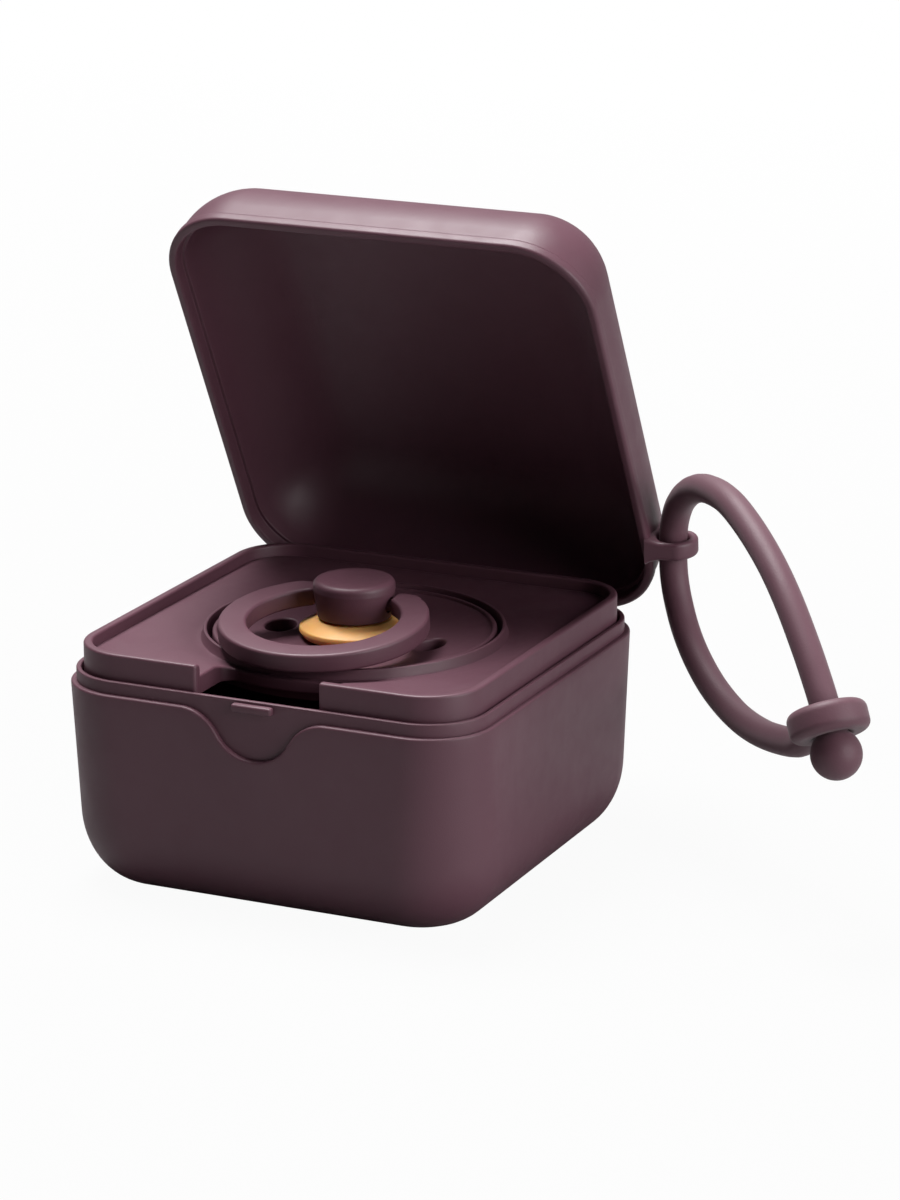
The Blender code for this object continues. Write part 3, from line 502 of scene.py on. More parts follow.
def along(table, place):
    """The height at a place in a table of (place, height), straight between its rows."""
    if place <= table[0][0]:
        return table[0][1]
    for (start, low), (end, high) in zip(table, table[1:]):
        if place <= end:
            return low + (high - low) * (place - start) / (end - start)
    return table[-1][1]


def fall(distance, radius):
    """How far a rounded edge has dropped, this far inside its outline."""
    if distance >= radius:
        return 0
    return radius - math.sqrt(max(radius**2 - (radius - max(distance, 0)) ** 2, 0))


def round_insets(radius, steps=ROUND_STEPS):
    """Insets from an outline at which a rounded edge has even turns."""
    return [radius * (1 - math.cos(math.radians(90 * step / steps))) for step in range(steps + 1)]


def rounded_square(half_x, half_y, corner, steps=CORNER_STEPS, side_steps=1):
    """A rectangle with round corners, from the right end of its front edge, anticlockwise."""
    points = []
    corner = max(corner, 1e-6)
    for index, (side_x, side_y) in enumerate(((1, -1), (1, 1), (-1, 1), (-1, -1))):
        centre = (side_x * (half_x - corner), side_y * (half_y - corner))
        points += arc(centre, corner, index * 90 - 90, index * 90, steps)
        if index < 3 and side_steps > 1:
            start = Vector(points[-1])
            step_x = (0, -2 * (half_x - corner), 0)[index]
            step_y = (2 * (half_y - corner), 0, -2 * (half_y - corner))[index]
            for step in range(1, side_steps):
                share = step / side_steps
                points.append((start.x + step_x * share, start.y + step_y * share))
    return points


def circle(radius, steps=TURNED_STEPS):
    return arc((0, 0), radius, 0, 360 * (steps - 1) / steps, steps - 1)


def rod(name, radius, start, end, frame_matrix, steps=SMALL_TURNED_STEPS, edge=0.0):
    """A rod along Z with eased ends, set in a frame."""
    profile = eased([(0, end), (0, start), (radius, start, edge), (radius, end, edge)])
    mesh = lathe(name, profile, steps)
    mesh.transform(frame_matrix)
    return mesh


def carve(name, mesh, cuts=(), joins=()):
    """The mesh with other meshes joined to it and cut from it."""
    body = bpy.data.objects.new(name, mesh)
    bpy.context.scene.collection.objects.link(body)
    others = []
    for operation, group in (("UNION", joins), ("DIFFERENCE", cuts)):
        for other_mesh in group:
            other = bpy.data.objects.new(other_mesh.name, other_mesh)
            bpy.context.scene.collection.objects.link(other)
            others.append(other)
            modifier = body.modifiers.new(other.name, "BOOLEAN")
            modifier.operation = operation
            modifier.object = other
            modifier.solver = "EXACT"
    graph = bpy.context.evaluated_depsgraph_get()
    graph.update()
    made = bpy.data.meshes.new_from_object(body.evaluated_get(graph))
    made.name = name
    for obj in [body] + others:
        bpy.data.objects.remove(obj)
    made.shade_smooth()
    made.set_sharp_from_angle(angle=math.radians(SHARP_ANGLE))
    return made


def add_piece(name, mesh, material, body, node):
    obj = bpy.data.objects.new(name, mesh)
    obj.data.materials.clear()
    obj.data.materials.append(material)
    bpy.context.scene.collection.objects.link(obj)
    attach(obj, body)
    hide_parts(node)
    return obj


ALONG_X = Matrix(((0, 0, 1, 0), (1, 0, 0, 0), (0, 1, 0, 0), (0, 0, 0, 1)))
HINGE_LINE = Matrix.Translation(HINGE) @ ALONG_X
OPENED = Matrix.Translation(HINGE) @ Matrix.Rotation(-LID_OPEN, 4, "X")


# Strap
LUG_CENTRE = LID_CENTRE + Vector((LID_HALF[0] + LUG_REACH, LUG_PLACE[0], LUG_PLACE[1]))
STRAP_FRAME = (
    Matrix.Translation(OPENED @ LUG_CENTRE)
    @ Matrix.Rotation(STRAP_YAW, 4, "Z")
    @ Matrix.Rotation(math.radians(90) + STRAP_LEAN, 4, "X")
)
EYELET_AXIS = Vector((math.cos(EYELET_ANGLE), math.sin(EYELET_ANGLE)))
EYELET_SIDE = Vector((math.sin(EYELET_ANGLE), -math.cos(EYELET_ANGLE)))
FILLET_REACH = EYELET_INNER + EYELET_EDGE
BALL_SEAT = CORD_RADIUS - EYELET_EDGE + math.sqrt(
    (BALL_RADIUS + EYELET_EDGE + FIT_GAP) ** 2 - FILLET_REACH**2
)
NECK_END = BALL_SEAT - BALL_RADIUS - BALL_NECK


def smooth_route(points, steps):
    """A Catmull-Rom curve through the points."""
    ends = [2 * points[0] - points[1]] + points + [2 * points[-1] - points[-2]]
    route = []
    for before, start, end, after in zip(ends, ends[1:], ends[2:], ends[3:]):
        for step in range(steps):
            t = step / steps
            bend = 2 * before - 5 * start + 4 * end - after
            twist = 3 * start - before - 3 * end + after
            route.append((2 * start + (end - before) * t + bend * t**2 + twist * t**3) / 2)
    return route + [points[-1]]


def make_strap():
    route = [EYELET_PLACE + EYELET_AXIS * (NECK_END + CORD_OVERLAP)]
    route += [Vector(point) for point in CORD_ROUTE]
    route.append(EYELET_PLACE + EYELET_SIDE * (EYELET_BOSS - CORD_OVERLAP))
    points = [STRAP_FRAME @ point.to_3d() for point in smooth_route(route, CORD_SPAN_STEPS)]
    length = sum((end - start).length for start, end in zip(points, points[1:]))
    curve = bpy.data.curves.new("strap_cord", "CURVE")
    curve.dimensions = "3D"
    curve.bevel_depth = CORD_RADIUS
    curve.bevel_resolution = 8
    curve.use_fill_caps = True
    spline = curve.splines.new("POLY")
    spline.points.add(len(points) - 1)
    for control, point in zip(spline.points, points[::-1]):
        control.co = (*point, 1)
    curve.materials.append(SILICONE)
    strap = bpy.data.objects.new("strap_cord", curve)
    bpy.context.scene.collection.objects.link(strap)
    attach(strap, "strap")
    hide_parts("strap")
    return strap, points[-1], length


def eyelet_frame():
    across = EYELET_AXIS.to_3d().cross(EYELET_SIDE.to_3d())
    turn = Matrix((EYELET_SIDE.to_3d(), across, EYELET_AXIS.to_3d())).transposed().to_4x4()
    return STRAP_FRAME @ Matrix.Translation(EYELET_PLACE.to_3d()) @ turn


def make_eyelet():
    half = CORD_RADIUS
    profile = eased(
        [
            (EYELET_OUTER, half, EYELET_RIM),
            (EYELET_OUTER, -half, EYELET_RIM),
            (EYELET_INNER, -half, EYELET_EDGE),
            (EYELET_INNER, half, EYELET_EDGE),
        ],
        steps=10,
    )
    ring = lathe("strap_eyelet_ring", profile, SMALL_TURNED_STEPS)
    sideways = Matrix.Rotation(math.radians(90), 4, "Y")
    start = (EYELET_INNER + EYELET_OUTER) / 2
    boss = rod("strap_boss", CORD_RADIUS - WALL_RUN, start, EYELET_BOSS, sideways)
    mesh = carve("strap_eyelet_ring", ring, joins=[boss])
    mesh.transform(eyelet_frame())
    return add_piece("strap_eyelet_ring", mesh, SILICONE, "strap", "strap_eyelet")


def make_ball():
    neck = BALL_RADIUS + BALL_NECK
    meeting = math.degrees(math.asin(CORD_RADIUS / BALL_RADIUS))
    sphere = arc((0, 0), BALL_RADIUS, -90, 90 - meeting - 6, 40)
    profile = [(0, neck), (CORD_RADIUS, neck), (CORD_RADIUS, BALL_RADIUS - CORD_OVERLAP)] + sphere[::-1][:-1]
    mesh = lathe("strap_ball_end", profile + [(0, -BALL_RADIUS)], SMALL_TURNED_STEPS)
    mesh.transform(eyelet_frame() @ Matrix.Translation((0, 0, BALL_SEAT)) @ Matrix.Rotation(math.pi, 4, "X"))
    return add_piece("strap_ball_end", mesh, SILICONE, "strap", "strap_ball")


make_camera()
strap_cord, strap_exit, strap_length = make_strap()
strap_eyelet = make_eyelet()
strap_ball = make_ball()
tuple(strap_exit)


# Base
def tub_corner(height):
    share = min(max(height / TUB_HEIGHT, 0), 1)
    return TUB_RIM_CORNER * share + TUB_FOOT_CORNER * (1 - share)


def dip_path():
    """The rim's line along the front from left to right, as (x, drop, normal x, normal up)."""
    radius = (DIP_HALF**2 / DIP_DEPTH + DIP_DEPTH) / 4
    turn = math.degrees(math.asin(DIP_HALF / (2 * radius)))
    path = []
    for x, z in arc((-DIP_HALF, -radius), radius, 90, 90 - turn, DIP_STEPS):
        path.append((x, z, (x + DIP_HALF) / radius, (z + radius) / radius))
    for x, z in arc((0, radius - DIP_DEPTH), radius, -90 - turn, -90 + turn, 2 * DIP_STEPS)[1:-1]:
        path.append((x, z, -x / radius, (radius - DIP_DEPTH - z) / radius))
    for x, z in arc((DIP_HALF, -radius), radius, 90 + turn, 90, DIP_STEPS):
        path.append((x, z, (x - DIP_HALF) / radius, (z + radius) / radius))
    return path


DIP_PATH = dip_path()


def front_run(inset, height, depth, weight):
    """The front edge from left to right: near the rim it follows the thumb dip, and lower down it
    is straight."""
    end = TUB_HALF - TUB_RIM_CORNER
    y = inset - TUB_HALF
    points = []
    for step in range(1, FRONT_SIDE_STEPS):
        x = -end + (end - DIP_HALF) * step / FRONT_SIDE_STEPS
        points.append((x, y, height))
    for x, drop, normal_x, normal_z in DIP_PATH:
        shift = depth * weight
        level = height + weight * (drop + depth * (1 - normal_z))
        points.append((x - shift * normal_x, y, level))
    for step in range(1, FRONT_SIDE_STEPS):
        x = DIP_HALF + (end - DIP_HALF) * step / FRONT_SIDE_STEPS
        points.append((x, y, height))
    return points


def tub_ring(inset, height, depth=0.0, weight=0.0):
    """One ring of the tub: depth is how far below the rim's edge it runs, and weight how fully it
    follows the dip."""
    half = TUB_HALF - inset
    square = rounded_square(half, half, tub_corner(height) - inset, CORNER_STEPS, 6)
    ring = [(x, y, height) for x, y in square]
    return ring + front_run(inset, height, depth, weight)


def foot_stations(depth, floor):
    leaning = TUB_DRAFT * (1 - FOOT_HEIGHT / TUB_HEIGHT)
    stations = []
    for step in range(CROWN_STEPS + 1):
        turn = math.radians(90 * (1 - step / CROWN_STEPS))
        inset = leaning + depth + (FOOT_WIDTH - depth) * (1 - math.cos(turn))
        stations.append((inset, floor + (FOOT_HEIGHT - floor) * (1 - math.sin(turn))))
    return stations


def tub_mesh():
    rings = [tub_ring(*station) for station in foot_stations(0, 0)]
    low = TUB_HEIGHT - DIP_DEPTH - DIP_MARGIN
    lean = TUB_DRAFT * (1 - low / TUB_HEIGHT)
    rings.append(tub_ring(lean, low))
    span = TUB_HEIGHT - RIM_ROUND - low
    for step in range(1, WALL_RINGS):
        share = step / WALL_RINGS
        height = low + span * share
        rings.append(tub_ring(lean * (1 - share), height, RIM_ROUND, share))
    for step in range(ROUND_STEPS + 1):
        turn = math.radians(90 * step / ROUND_STEPS)
        depth = RIM_ROUND * (1 - math.sin(turn))
        rings.append(tub_ring(RIM_ROUND * (1 - math.cos(turn)), TUB_HEIGHT - depth, depth, 1))
    rings.append(tub_ring(SHOULDER, TUB_HEIGHT, 0, 1))
    spigot = eased(
        [
            (SHOULDER, SPIGOT_TOP - 0.001),
            (SHOULDER, SPIGOT_TOP, SPIGOT_ROUND),
            (TUB_WALL, SPIGOT_TOP, SPIGOT_ROUND),
            (TUB_WALL, TUB_HEIGHT),
        ],
        closed=False,
    )
    rings += [tub_ring(*station) for station in spigot]
    rings += [tub_ring(*station) for station in foot_stations(TUB_WALL, FLOOR)[::-1]]
    return loft("base_moulding", rings)


def box_mesh(name, low, high, edge, segments):
    shape = bmesh.new()
    middle = [(start + end) / 2 for start, end in zip(low, high)]
    size = [end - start for start, end in zip(low, high)]
    bmesh.ops.create_cube(shape, size=1, matrix=Matrix.Translation(middle) @ Matrix.Diagonal((*size, 1)))
    bmesh.ops.bevel(shape, geom=shape.edges, offset=edge, segments=segments, profile=0.5, affect="EDGES")
    return to_mesh(name, shape)


def prism(name, outline, start, end, frame_matrix=Matrix()):
    shape = bmesh.new()
    low = [shape.verts.new((x, y, start)) for x, y in outline]
    high = [shape.verts.new((x, y, end)) for x, y in outline]
    for index in range(len(outline)):
        after = (index + 1) % len(outline)
        shape.faces.new((low[index], low[after], high[after], high[index]))
    shape.faces.new(low[::-1])
    shape.faces.new(high)
    shape.transform(frame_matrix)
    return to_mesh(name, shape)


def rib_meshes():
    """The eight ribs that carry the tray, two to a wall."""
    inner = TUB_WALL + RIB_DEPTH
    foot = [station for station in foot_stations(TUB_WALL / 2, FLOOR / 2) if station[0] < inner]
    top = SKIRT_BOTTOM - FIT_GAP
    outline = [(inner, foot[0][1])] + foot + [(TUB_WALL / 2, top), (inner, top)]
    seen = [(TUB_HALF - inset, height) for inset, height in outline]
    upright = Matrix(((1, 0, 0, 0), (0, 0, -1, 0), (0, 1, 0, 0), (0, 0, 0, 1)))
    meshes = []
    for wall in range(4):
        for side in (-1, 1):
            turn = Matrix.Rotation(math.radians(90 * wall), 4, "Z") @ upright
            middle = side * RIB_PLACE
            meshes.append(prism(f"rib_{wall}_{side}", seen, middle - RIB_HALF, middle + RIB_HALF, turn))
    return meshes


def knuckle_meshes():
    wall = TUB_HALF - SHOULDER / 2
    barrel = arc((HINGE.y, HINGE.z), KNUCKLE_RADIUS, -40, 90, 16)
    web = [(wall, HINGE.z - KNUCKLE_RADIUS - 0.0050)] + barrel + [(HINGE.y, HINGE.z), (wall, HINGE.z)]
    meshes = []
    for side in (-1, 1):
        ends = sorted((side * BASE_KNUCKLE[0], side * BASE_KNUCKLE[1]))
        meshes.append(rod(f"base_knuckle_{side}", KNUCKLE_RADIUS, *ends, HINGE_LINE, edge=BARREL_EDGE))
        meshes.append(prism(f"knuckle_web_{side}", web, ends[0] + 0.00012, ends[1] - 0.00012, ALONG_X))
    return meshes


def make_base():
    front = TUB_HALF - SHOULDER
    low = (-CATCH[0], -front - CATCH[1], CATCH_FOOT)
    high = (CATCH[0], -front + SPIGOT_WALL / 2, CATCH_FOOT + CATCH[2])
    catch = box_mesh("catch", low, high, 0.00036, 4)
    relief_radius = KNUCKLE_RADIUS + RUNNING_GAP
    relief = rod("knuckle_relief", relief_radius, -BASE_KNUCKLE[0], BASE_KNUCKLE[0], HINGE_LINE)
    bore = rod("base_bore", PIN_RADIUS + PIN_GAP, -0.016, 0.016, HINGE_LINE, BORE_STEPS)
    joins = [catch] + rib_meshes() + knuckle_meshes()
    mesh = carve("base_moulding", tub_mesh(), [relief, bore], joins)
    return add_piece("base_moulding", mesh, PLASTIC, "base", "base")


def make_pin():
    mesh = rod("hinge_wire", PIN_RADIUS, -PIN_HALF, PIN_HALF, HINGE_LINE, BORE_STEPS, BARREL_EDGE)
    return add_piece("hinge_wire", mesh, STEEL, "base", "hinge_pin")


# Tray
NOTCH_CORNER_X = NOTCH_HALF - NOTCH_FILLET
NOTCH_CORNER_Y = -math.sqrt((NOTCH_BACK + NOTCH_FILLET) ** 2 - NOTCH_CORNER_X**2)
NOTCH_MEETING = math.atan2(NOTCH_CORNER_X, -NOTCH_CORNER_Y)


def notch_run(inset):
    """The notch's edge this far inside the tray's material, from the right end to the left."""
    fillet = NOTCH_FILLET + inset
    back = NOTCH_BACK - inset
    meeting = math.degrees(NOTCH_MEETING)
    mouth = NOTCH_MOUTH_ROUND
    centre = (NOTCH_HALF + mouth, -TRAY_HALF + mouth)
    right = arc(centre, mouth - inset, 270, 180, 4)
    right += arc((NOTCH_CORNER_X, NOTCH_CORNER_Y), fillet, 0, 90 + meeting, 14)
    path = right + arc((0, 0), back, -90 + meeting, -90, 14)[1:]
    return path + [(-x, y) for x, y in path[::-1]][1:]


def tray_outline(inset):
    half = TRAY_HALF - inset
    square = rounded_square(half, half, TRAY_CORNER - inset)
    return square + notch_run(inset)[::-1]


def square_depth(x, y):
    """How deep a point lies inside the tray's square outline."""
    across = abs(x) - (TRAY_HALF - TRAY_CORNER)
    ahead = abs(y) - (TRAY_HALF - TRAY_CORNER)
    if across > 0 and ahead > 0:
        return TRAY_CORNER - math.hypot(across, ahead)
    return TRAY_CORNER - max(across, ahead)


def notch_depth(x, y):
    """How far a point is from the notch, and below zero in it."""
    x = abs(x)
    if y < NOTCH_CORNER_Y:
        return x - NOTCH_HALF
    turn = math.atan2(x, -y)
    if turn < NOTCH_MEETING:
        return NOTCH_BACK - math.hypot(x, y)
    return math.hypot(x - NOTCH_CORNER_X, y - NOTCH_CORNER_Y) - NOTCH_FILLET


def tray_depth(x, y):
    """How deep a point lies inside the tray's whole outline."""
    from_square = square_depth(x, y)
    from_notch = notch_depth(x, y)
    mouth = NOTCH_MOUTH_ROUND
    if y < 0 and from_square < mouth and 0 < from_notch < mouth:
        return mouth - math.hypot(mouth - from_square, mouth - from_notch)
    return min(from_square, from_notch)


LIP_TABLE = (
    [(0, TRAY_TOP)]
    + [
        (LIP_WIDTH - LIP_ROUND + LIP_ROUND * math.sin(math.radians(turn)),
         TRAY_TOP - LIP_ROUND * (1 - math.cos(math.radians(turn))))
        for turn in range(0, 91, 18)
    ]
    + [(LIP_WIDTH + WALL_RUN, BORDER_TOP)]
)
FACE_TABLE = [
    (0, LEDGE_TOP),
    (SEAT_INNER - WALL_RUN, LEDGE_TOP),
    (SEAT_INNER, SEAT_TOP - SEAT_ROUND),
    (SEAT_INNER + SEAT_ROUND * 0.3, SEAT_TOP - SEAT_ROUND * 0.3),
    (SEAT_INNER + SEAT_ROUND, SEAT_TOP),
    (SEAT_OUTER - SEAT_ROUND, SEAT_TOP),
    (SEAT_OUTER - SEAT_ROUND * 0.3, SEAT_TOP - SEAT_ROUND * 0.3),
    (SEAT_OUTER, SEAT_TOP - SEAT_ROUND),
    (SEAT_FOOT - 0.0002, DISH_FLOOR + 0.00025),
    (SEAT_FOOT, DISH_FLOOR),
    (DISH_RADIUS, DISH_FLOOR),
    (CREASE_RADIUS, BORDER_TOP),
]
UNDER_TABLE = [(0, LEDGE_UNDER), (SEAT_FOOT - WALL_RUN, LEDGE_UNDER), (SEAT_FOOT, PLATE_UNDER)]
SKIRT_TABLE = [(0, SKIRT_BOTTOM), (LIP_WIDTH, SKIRT_BOTTOM), (LIP_WIDTH + WALL_RUN, PLATE_UNDER)]


def tray_top(x, y):
    deep = square_depth(x, y)
    if deep <= LIP_TABLE[-1][0]:
        level = along(LIP_TABLE, deep)
    else:
        level = along(FACE_TABLE, math.hypot(x, y))
    return level - fall(tray_depth(x, y), LIP_ROUND)


def tray_under(x, y):
    deep = square_depth(x, y)
    if deep <= SKIRT_TABLE[-1][0]:
        level = along(SKIRT_TABLE, deep)
    else:
        level = along(UNDER_TABLE, math.hypot(x, y))
    return level + fall(tray_depth(x, y), SKIRT_ROUND)


def make_tray():
    insets = round_insets(LIP_ROUND) + [SKIRT_ROUND * 0.5]
    loops = [tray_outline(inset) for inset in sorted(insets)]
    for inset in sorted({row[0] for row in LIP_TABLE[1:]}):
        half = TRAY_HALF - inset
        loops.append(rounded_square(half, half, TRAY_CORNER - inset))
    for radius in sorted({row[0] for row in FACE_TABLE[1:]} | {LEDGE_RADIUS}):
        loops.append(circle(radius, 180))

    def inside(x, y):
        return tray_depth(x, y) > 0 and math.hypot(x, y) > LEDGE_RADIUS * math.cos(math.pi / 180)

    mesh = plan_body("tray_moulding", loops, inside, tray_top, tray_under)
    return add_piece("tray_moulding", mesh, PLASTIC, "tray", "tray")


# Pacifier
def saucer_height(radius):
    """The height of the shield's hollow face."""
    rise = max(radius - SHIELD_FLAT, 0) / (SHIELD_RADIUS - SHIELD_FLAT)
    return SHIELD_TOP + SHIELD_SAG * rise**1.5


def shield_tables():
    """The heights of the shield's face and back, as rows of (radius, height)."""
    edge = SHIELD_EDGE
    bead = BEAD_HEIGHT
    top = []
    for step in range(17):
        radius = SHIELD_HOLE + (SHIELD_RADIUS - BEAD_WIDTH - SHIELD_HOLE) * step / 16
        top.append((radius, saucer_height(radius)))
    under = [(radius, height - SHIELD_THICKNESS) for radius, height in top]
    rim = saucer_height(SHIELD_RADIUS) + bead
    inner = SHIELD_RADIUS - BEAD_WIDTH
    for turn in range(0, 91, 18):
        angle = math.radians(turn)
        top.append((inner + 0.0001 + bead * (1 - math.cos(angle)), rim - bead + bead * math.sin(angle)))
    for turn in range(0, 91, 15):
        angle = math.radians(turn)
        top.append((SHIELD_RADIUS - edge + edge * math.sin(angle), rim - edge * (1 - math.cos(angle))))
    low = saucer_height(SHIELD_RADIUS) - SHIELD_THICKNESS
    for turn in range(0, 91, 15):
        angle = math.radians(turn)
        under.append((SHIELD_RADIUS - edge + edge * math.sin(angle), low + edge * (1 - math.cos(angle))))
    return top, under


SHIELD_FACE, SHIELD_BACK = shield_tables()


def vent_depth(x, y):
    """How far outside a vent's rim a point lies, up to the rim's rounding."""
    x = abs(x) - VENT_PLACE
    low, high = -VENT[0] * 0.9, VENT_ROUND * 1.5
    if (x / (VENT[0] + high)) ** 2 + (y / (VENT[1] + high)) ** 2 > 1:
        return high
    for _ in range(40):
        middle = (low + high) / 2
        if (x / (VENT[0] + middle)) ** 2 + (y / (VENT[1] + middle)) ** 2 > 1:
            low = middle
        else:
            high = middle
    return high


def make_shield():
    loops = [circle(radius) for radius in sorted({row[0] for row in SHIELD_FACE + SHIELD_BACK})]
    for side in (-1, 1):
        for inset in round_insets(VENT_ROUND):
            oval = []
            for x, y in circle(1.0, 64):
                oval.append((side * VENT_PLACE + (VENT[0] + inset) * x, (VENT[1] + inset) * y))
            loops.append(oval)

    def inside(x, y):
        return math.hypot(x, y) > SHIELD_HOLE * 0.9995 and vent_depth(x, y) > 0.000001

    def top(x, y):
        return along(SHIELD_FACE, math.hypot(x, y)) - fall(vent_depth(x, y), VENT_ROUND)

    def under(x, y):
        return along(SHIELD_BACK, math.hypot(x, y)) + fall(vent_depth(x, y), VENT_ROUND)

    mesh = plan_body("shield_disc", loops, inside, top, under)
    return add_piece("shield_disc", mesh, PLASTIC, "pacifier", "pacifier_shield")


def make_nipple():
    flange_top = SHIELD_UNDER - FIT_GAP
    waist = SHIELD_UNDER - 0.0070
    neck = NECK_RADIUS - RUBBER_WALL
    outer = [
        (neck, COLLAR_TOP, 0.0002),
        (KNOB_FOOT_RADIUS, COLLAR_TOP, 0.0006),
        (COLLAR_RADIUS - 0.0002, COLLAR_SHOULDER + 0.0001, 0.00035),
        (COLLAR_RADIUS - 0.0001, COLLAR_SHOULDER - 0.0005, 0.0003),
        (0.0076, COLLAR_UNDER, 0.0002),
        (NECK_RADIUS, COLLAR_UNDER),
        (NECK_RADIUS, flange_top),
        (FLANGE_RADIUS, flange_top, 0.0003),
        (FLANGE_RADIUS, flange_top - 0.0012, 0.0004),
        (0.0052, flange_top - 0.0016, 0.0009),
        (WAIST_RADIUS, waist, 0.0030),
    ]
    start = 90 - math.degrees(math.asin(WAIST_RADIUS / BULB_RADIUS))
    outside = eased(outer + [(0.0050, BULB_CENTRE + 0.0052)], closed=False, steps=7)[:-1]
    bulb = arc((0, BULB_CENTRE), BULB_RADIUS, start, -90, 36)
    hollow = BULB_RADIUS - RUBBER_WALL
    bore = WAIST_RADIUS - RUBBER_WALL
    inner_start = 90 - math.degrees(math.asin(bore / hollow))
    inside = arc((0, BULB_CENTRE), hollow, -90, inner_start, 30)
    inside[0] = (0, BULB_CENTRE - hollow)
    bulb[-1] = (0, BULB_CENTRE - BULB_RADIUS)
    profile = outside + bulb + inside + [(bore, waist), (neck, SHIELD_UNDER - 0.0012)]
    mesh = lathe("rubber_nipple", profile)
    return add_piece("rubber_nipple", mesh, RUBBER, "pacifier", "nipple")


def make_knob():
    profile = eased(
        [
            (0, STEM_END),
            (STEM_RADIUS, STEM_END, 0.0008),
            (STEM_RADIUS, KNOB_FOOT),
            (KNOB_FOOT_RADIUS, KNOB_FOOT, 0.0003),
            (KNOB_RADIUS, KNOB_TOP - 0.0016, 0.0008),
            (KNOB_RADIUS - 0.00005, KNOB_TOP - 0.0001, 0.00085),
            (KNOB_RADIUS - 0.0016, KNOB_TOP - 0.0001, 0.0018),
            (0.0022, KNOB_TOP - KNOB_DISH, 0.004),
            (0, KNOB_TOP - KNOB_DISH),
        ],
        steps=9,
    )
    mesh = lathe("knob_plug", profile)
    axis = Matrix.Translation((0, 0, HANDLE_PIVOT)) @ ALONG_X
    sockets = []
    deep = HANDLE_END - HANDLE_PIN_LENGTH - FIT_GAP
    for side in (-1, 1):
        ends = sorted((side * deep, side * (KNOB_RADIUS + 0.002)))
        sockets.append(rod(f"socket_{side}", HANDLE_PIN + FIT_GAP, *ends, axis, BORE_STEPS))
    return add_piece("knob_plug", carve("knob_plug", mesh, sockets), PLASTIC, "pacifier", "knob")


def handle_outline(inset):
    """The C of the handle about its hinge, this far inside its edge."""
    corner_reach = HANDLE_OUTER - HANDLE_END_ROUND
    corner_y = HANDLE_BEHIND - HANDLE_END_ROUND
    rise = corner_y + HANDLE_CENTRE
    corner_x = math.sqrt(corner_reach**2 - rise**2)
    turn = math.degrees(math.atan2(rise, corner_x))
    inner_turn = math.degrees(math.acos((HANDLE_END + inset) / (HANDLE_INNER + inset)))
    tip = (HANDLE_END + HANDLE_TIP_ROUND, HANDLE_BEHIND - HANDLE_TIP_ROUND)
    half = arc(tip, HANDLE_TIP_ROUND - inset, 180, 90, 8)
    half += arc((corner_x, corner_y), HANDLE_END_ROUND - inset, 90, turn, 10)
    half += arc((0, -HANDLE_CENTRE), HANDLE_OUTER - inset, turn, -90, 64)[1:]
    inner = arc((0, -HANDLE_CENTRE), HANDLE_INNER + inset, -90, inner_turn, 56)
    outer_run = half + [(-x, y) for x, y in half[::-1]][1:]
    inner_run = [(-x, y) for x, y in inner[::-1]] + inner[1:]
    return outer_run + inner_run


def make_handle():
    insets = round_insets(HANDLE_ROUND, 7)
    loops = [handle_outline(inset) for inset in insets]
    insets_of = {}
    for inset, loop in zip(insets, loops):
        for x, y in loop:
            insets_of[(round(x * 1e7), round(y * 1e7))] = inset
    tip = Vector((HANDLE_END + HANDLE_TIP_ROUND, HANDLE_BEHIND - HANDLE_TIP_ROUND))
    corner_y = HANDLE_BEHIND - HANDLE_END_ROUND
    corner_x = math.sqrt((HANDLE_OUTER - HANDLE_END_ROUND) ** 2 - (corner_y + HANDLE_CENTRE) ** 2)

    def depth(x, y):
        x = abs(x)
        radius = math.hypot(x, y + HANDLE_CENTRE)
        found = min(HANDLE_OUTER - radius, radius - HANDLE_INNER)
        if y > -0.003:
            found = min(found, x - HANDLE_END, HANDLE_BEHIND - y)
            if x < tip.x and y > tip.y:
                found = HANDLE_TIP_ROUND - math.hypot(x - tip.x, y - tip.y)
            if x > corner_x and y > corner_y:
                found = min(found, HANDLE_END_ROUND - math.hypot(x - corner_x, y - corner_y))
        return found

    def height(x, y):
        known = insets_of.get((round(x * 1e7), round(y * 1e7)))
        inset = depth(x, y) if known is None else known
        return HANDLE_HALF - fall(inset, HANDLE_ROUND)

    def inside(x, y):
        return depth(x, y) > BARELY_INSIDE

    def under(x, y):
        return -height(x, y)

    mesh = plan_body("ring_grip", loops, inside, height, under)
    stubs = []
    for side in (-1, 1):
        ends = sorted((side * (HANDLE_END - HANDLE_PIN_LENGTH), side * (HANDLE_END + 0.0009)))
        stubs.append(rod(f"stub_{side}", HANDLE_PIN, *ends, ALONG_X, BORE_STEPS, edge=0.00025))
    mesh = carve("ring_grip", mesh, joins=stubs)
    mesh.transform(Matrix.Translation((0, 0, HANDLE_PIVOT)) @ Matrix.Rotation(HANDLE_TILT, 4, "X"))
    return add_piece("ring_grip", mesh, PLASTIC, "handle", "ring_handle")


# Lid
def lid_ring(inset, height):
    left = LID_CORNER - inset
    corner = (left + math.sqrt(left**2 + CROWN_CORNER**2)) / 2
    ring = rounded_square(LID_HALF[0] - inset, LID_HALF[1] - inset, corner, CORNER_STEPS, 4)
    return [Vector((x, y, height)) + LID_CENTRE for x, y in ring]


def crown_stations(depth, top):
    start = LID_DEPTH - LID_FILLET
    stations = []
    for step in range(CROWN_STEPS + 1):
        turn = math.radians(90 * step / CROWN_STEPS)
        lean = BAND_PROUD + (LID_DRAFT - BAND_PROUD) * math.sin(turn)
        inset = depth + lean + (LID_FILLET - depth) * (1 - math.cos(turn))
        stations.append((inset, start + (top - start) * math.sin(turn)))
    return stations


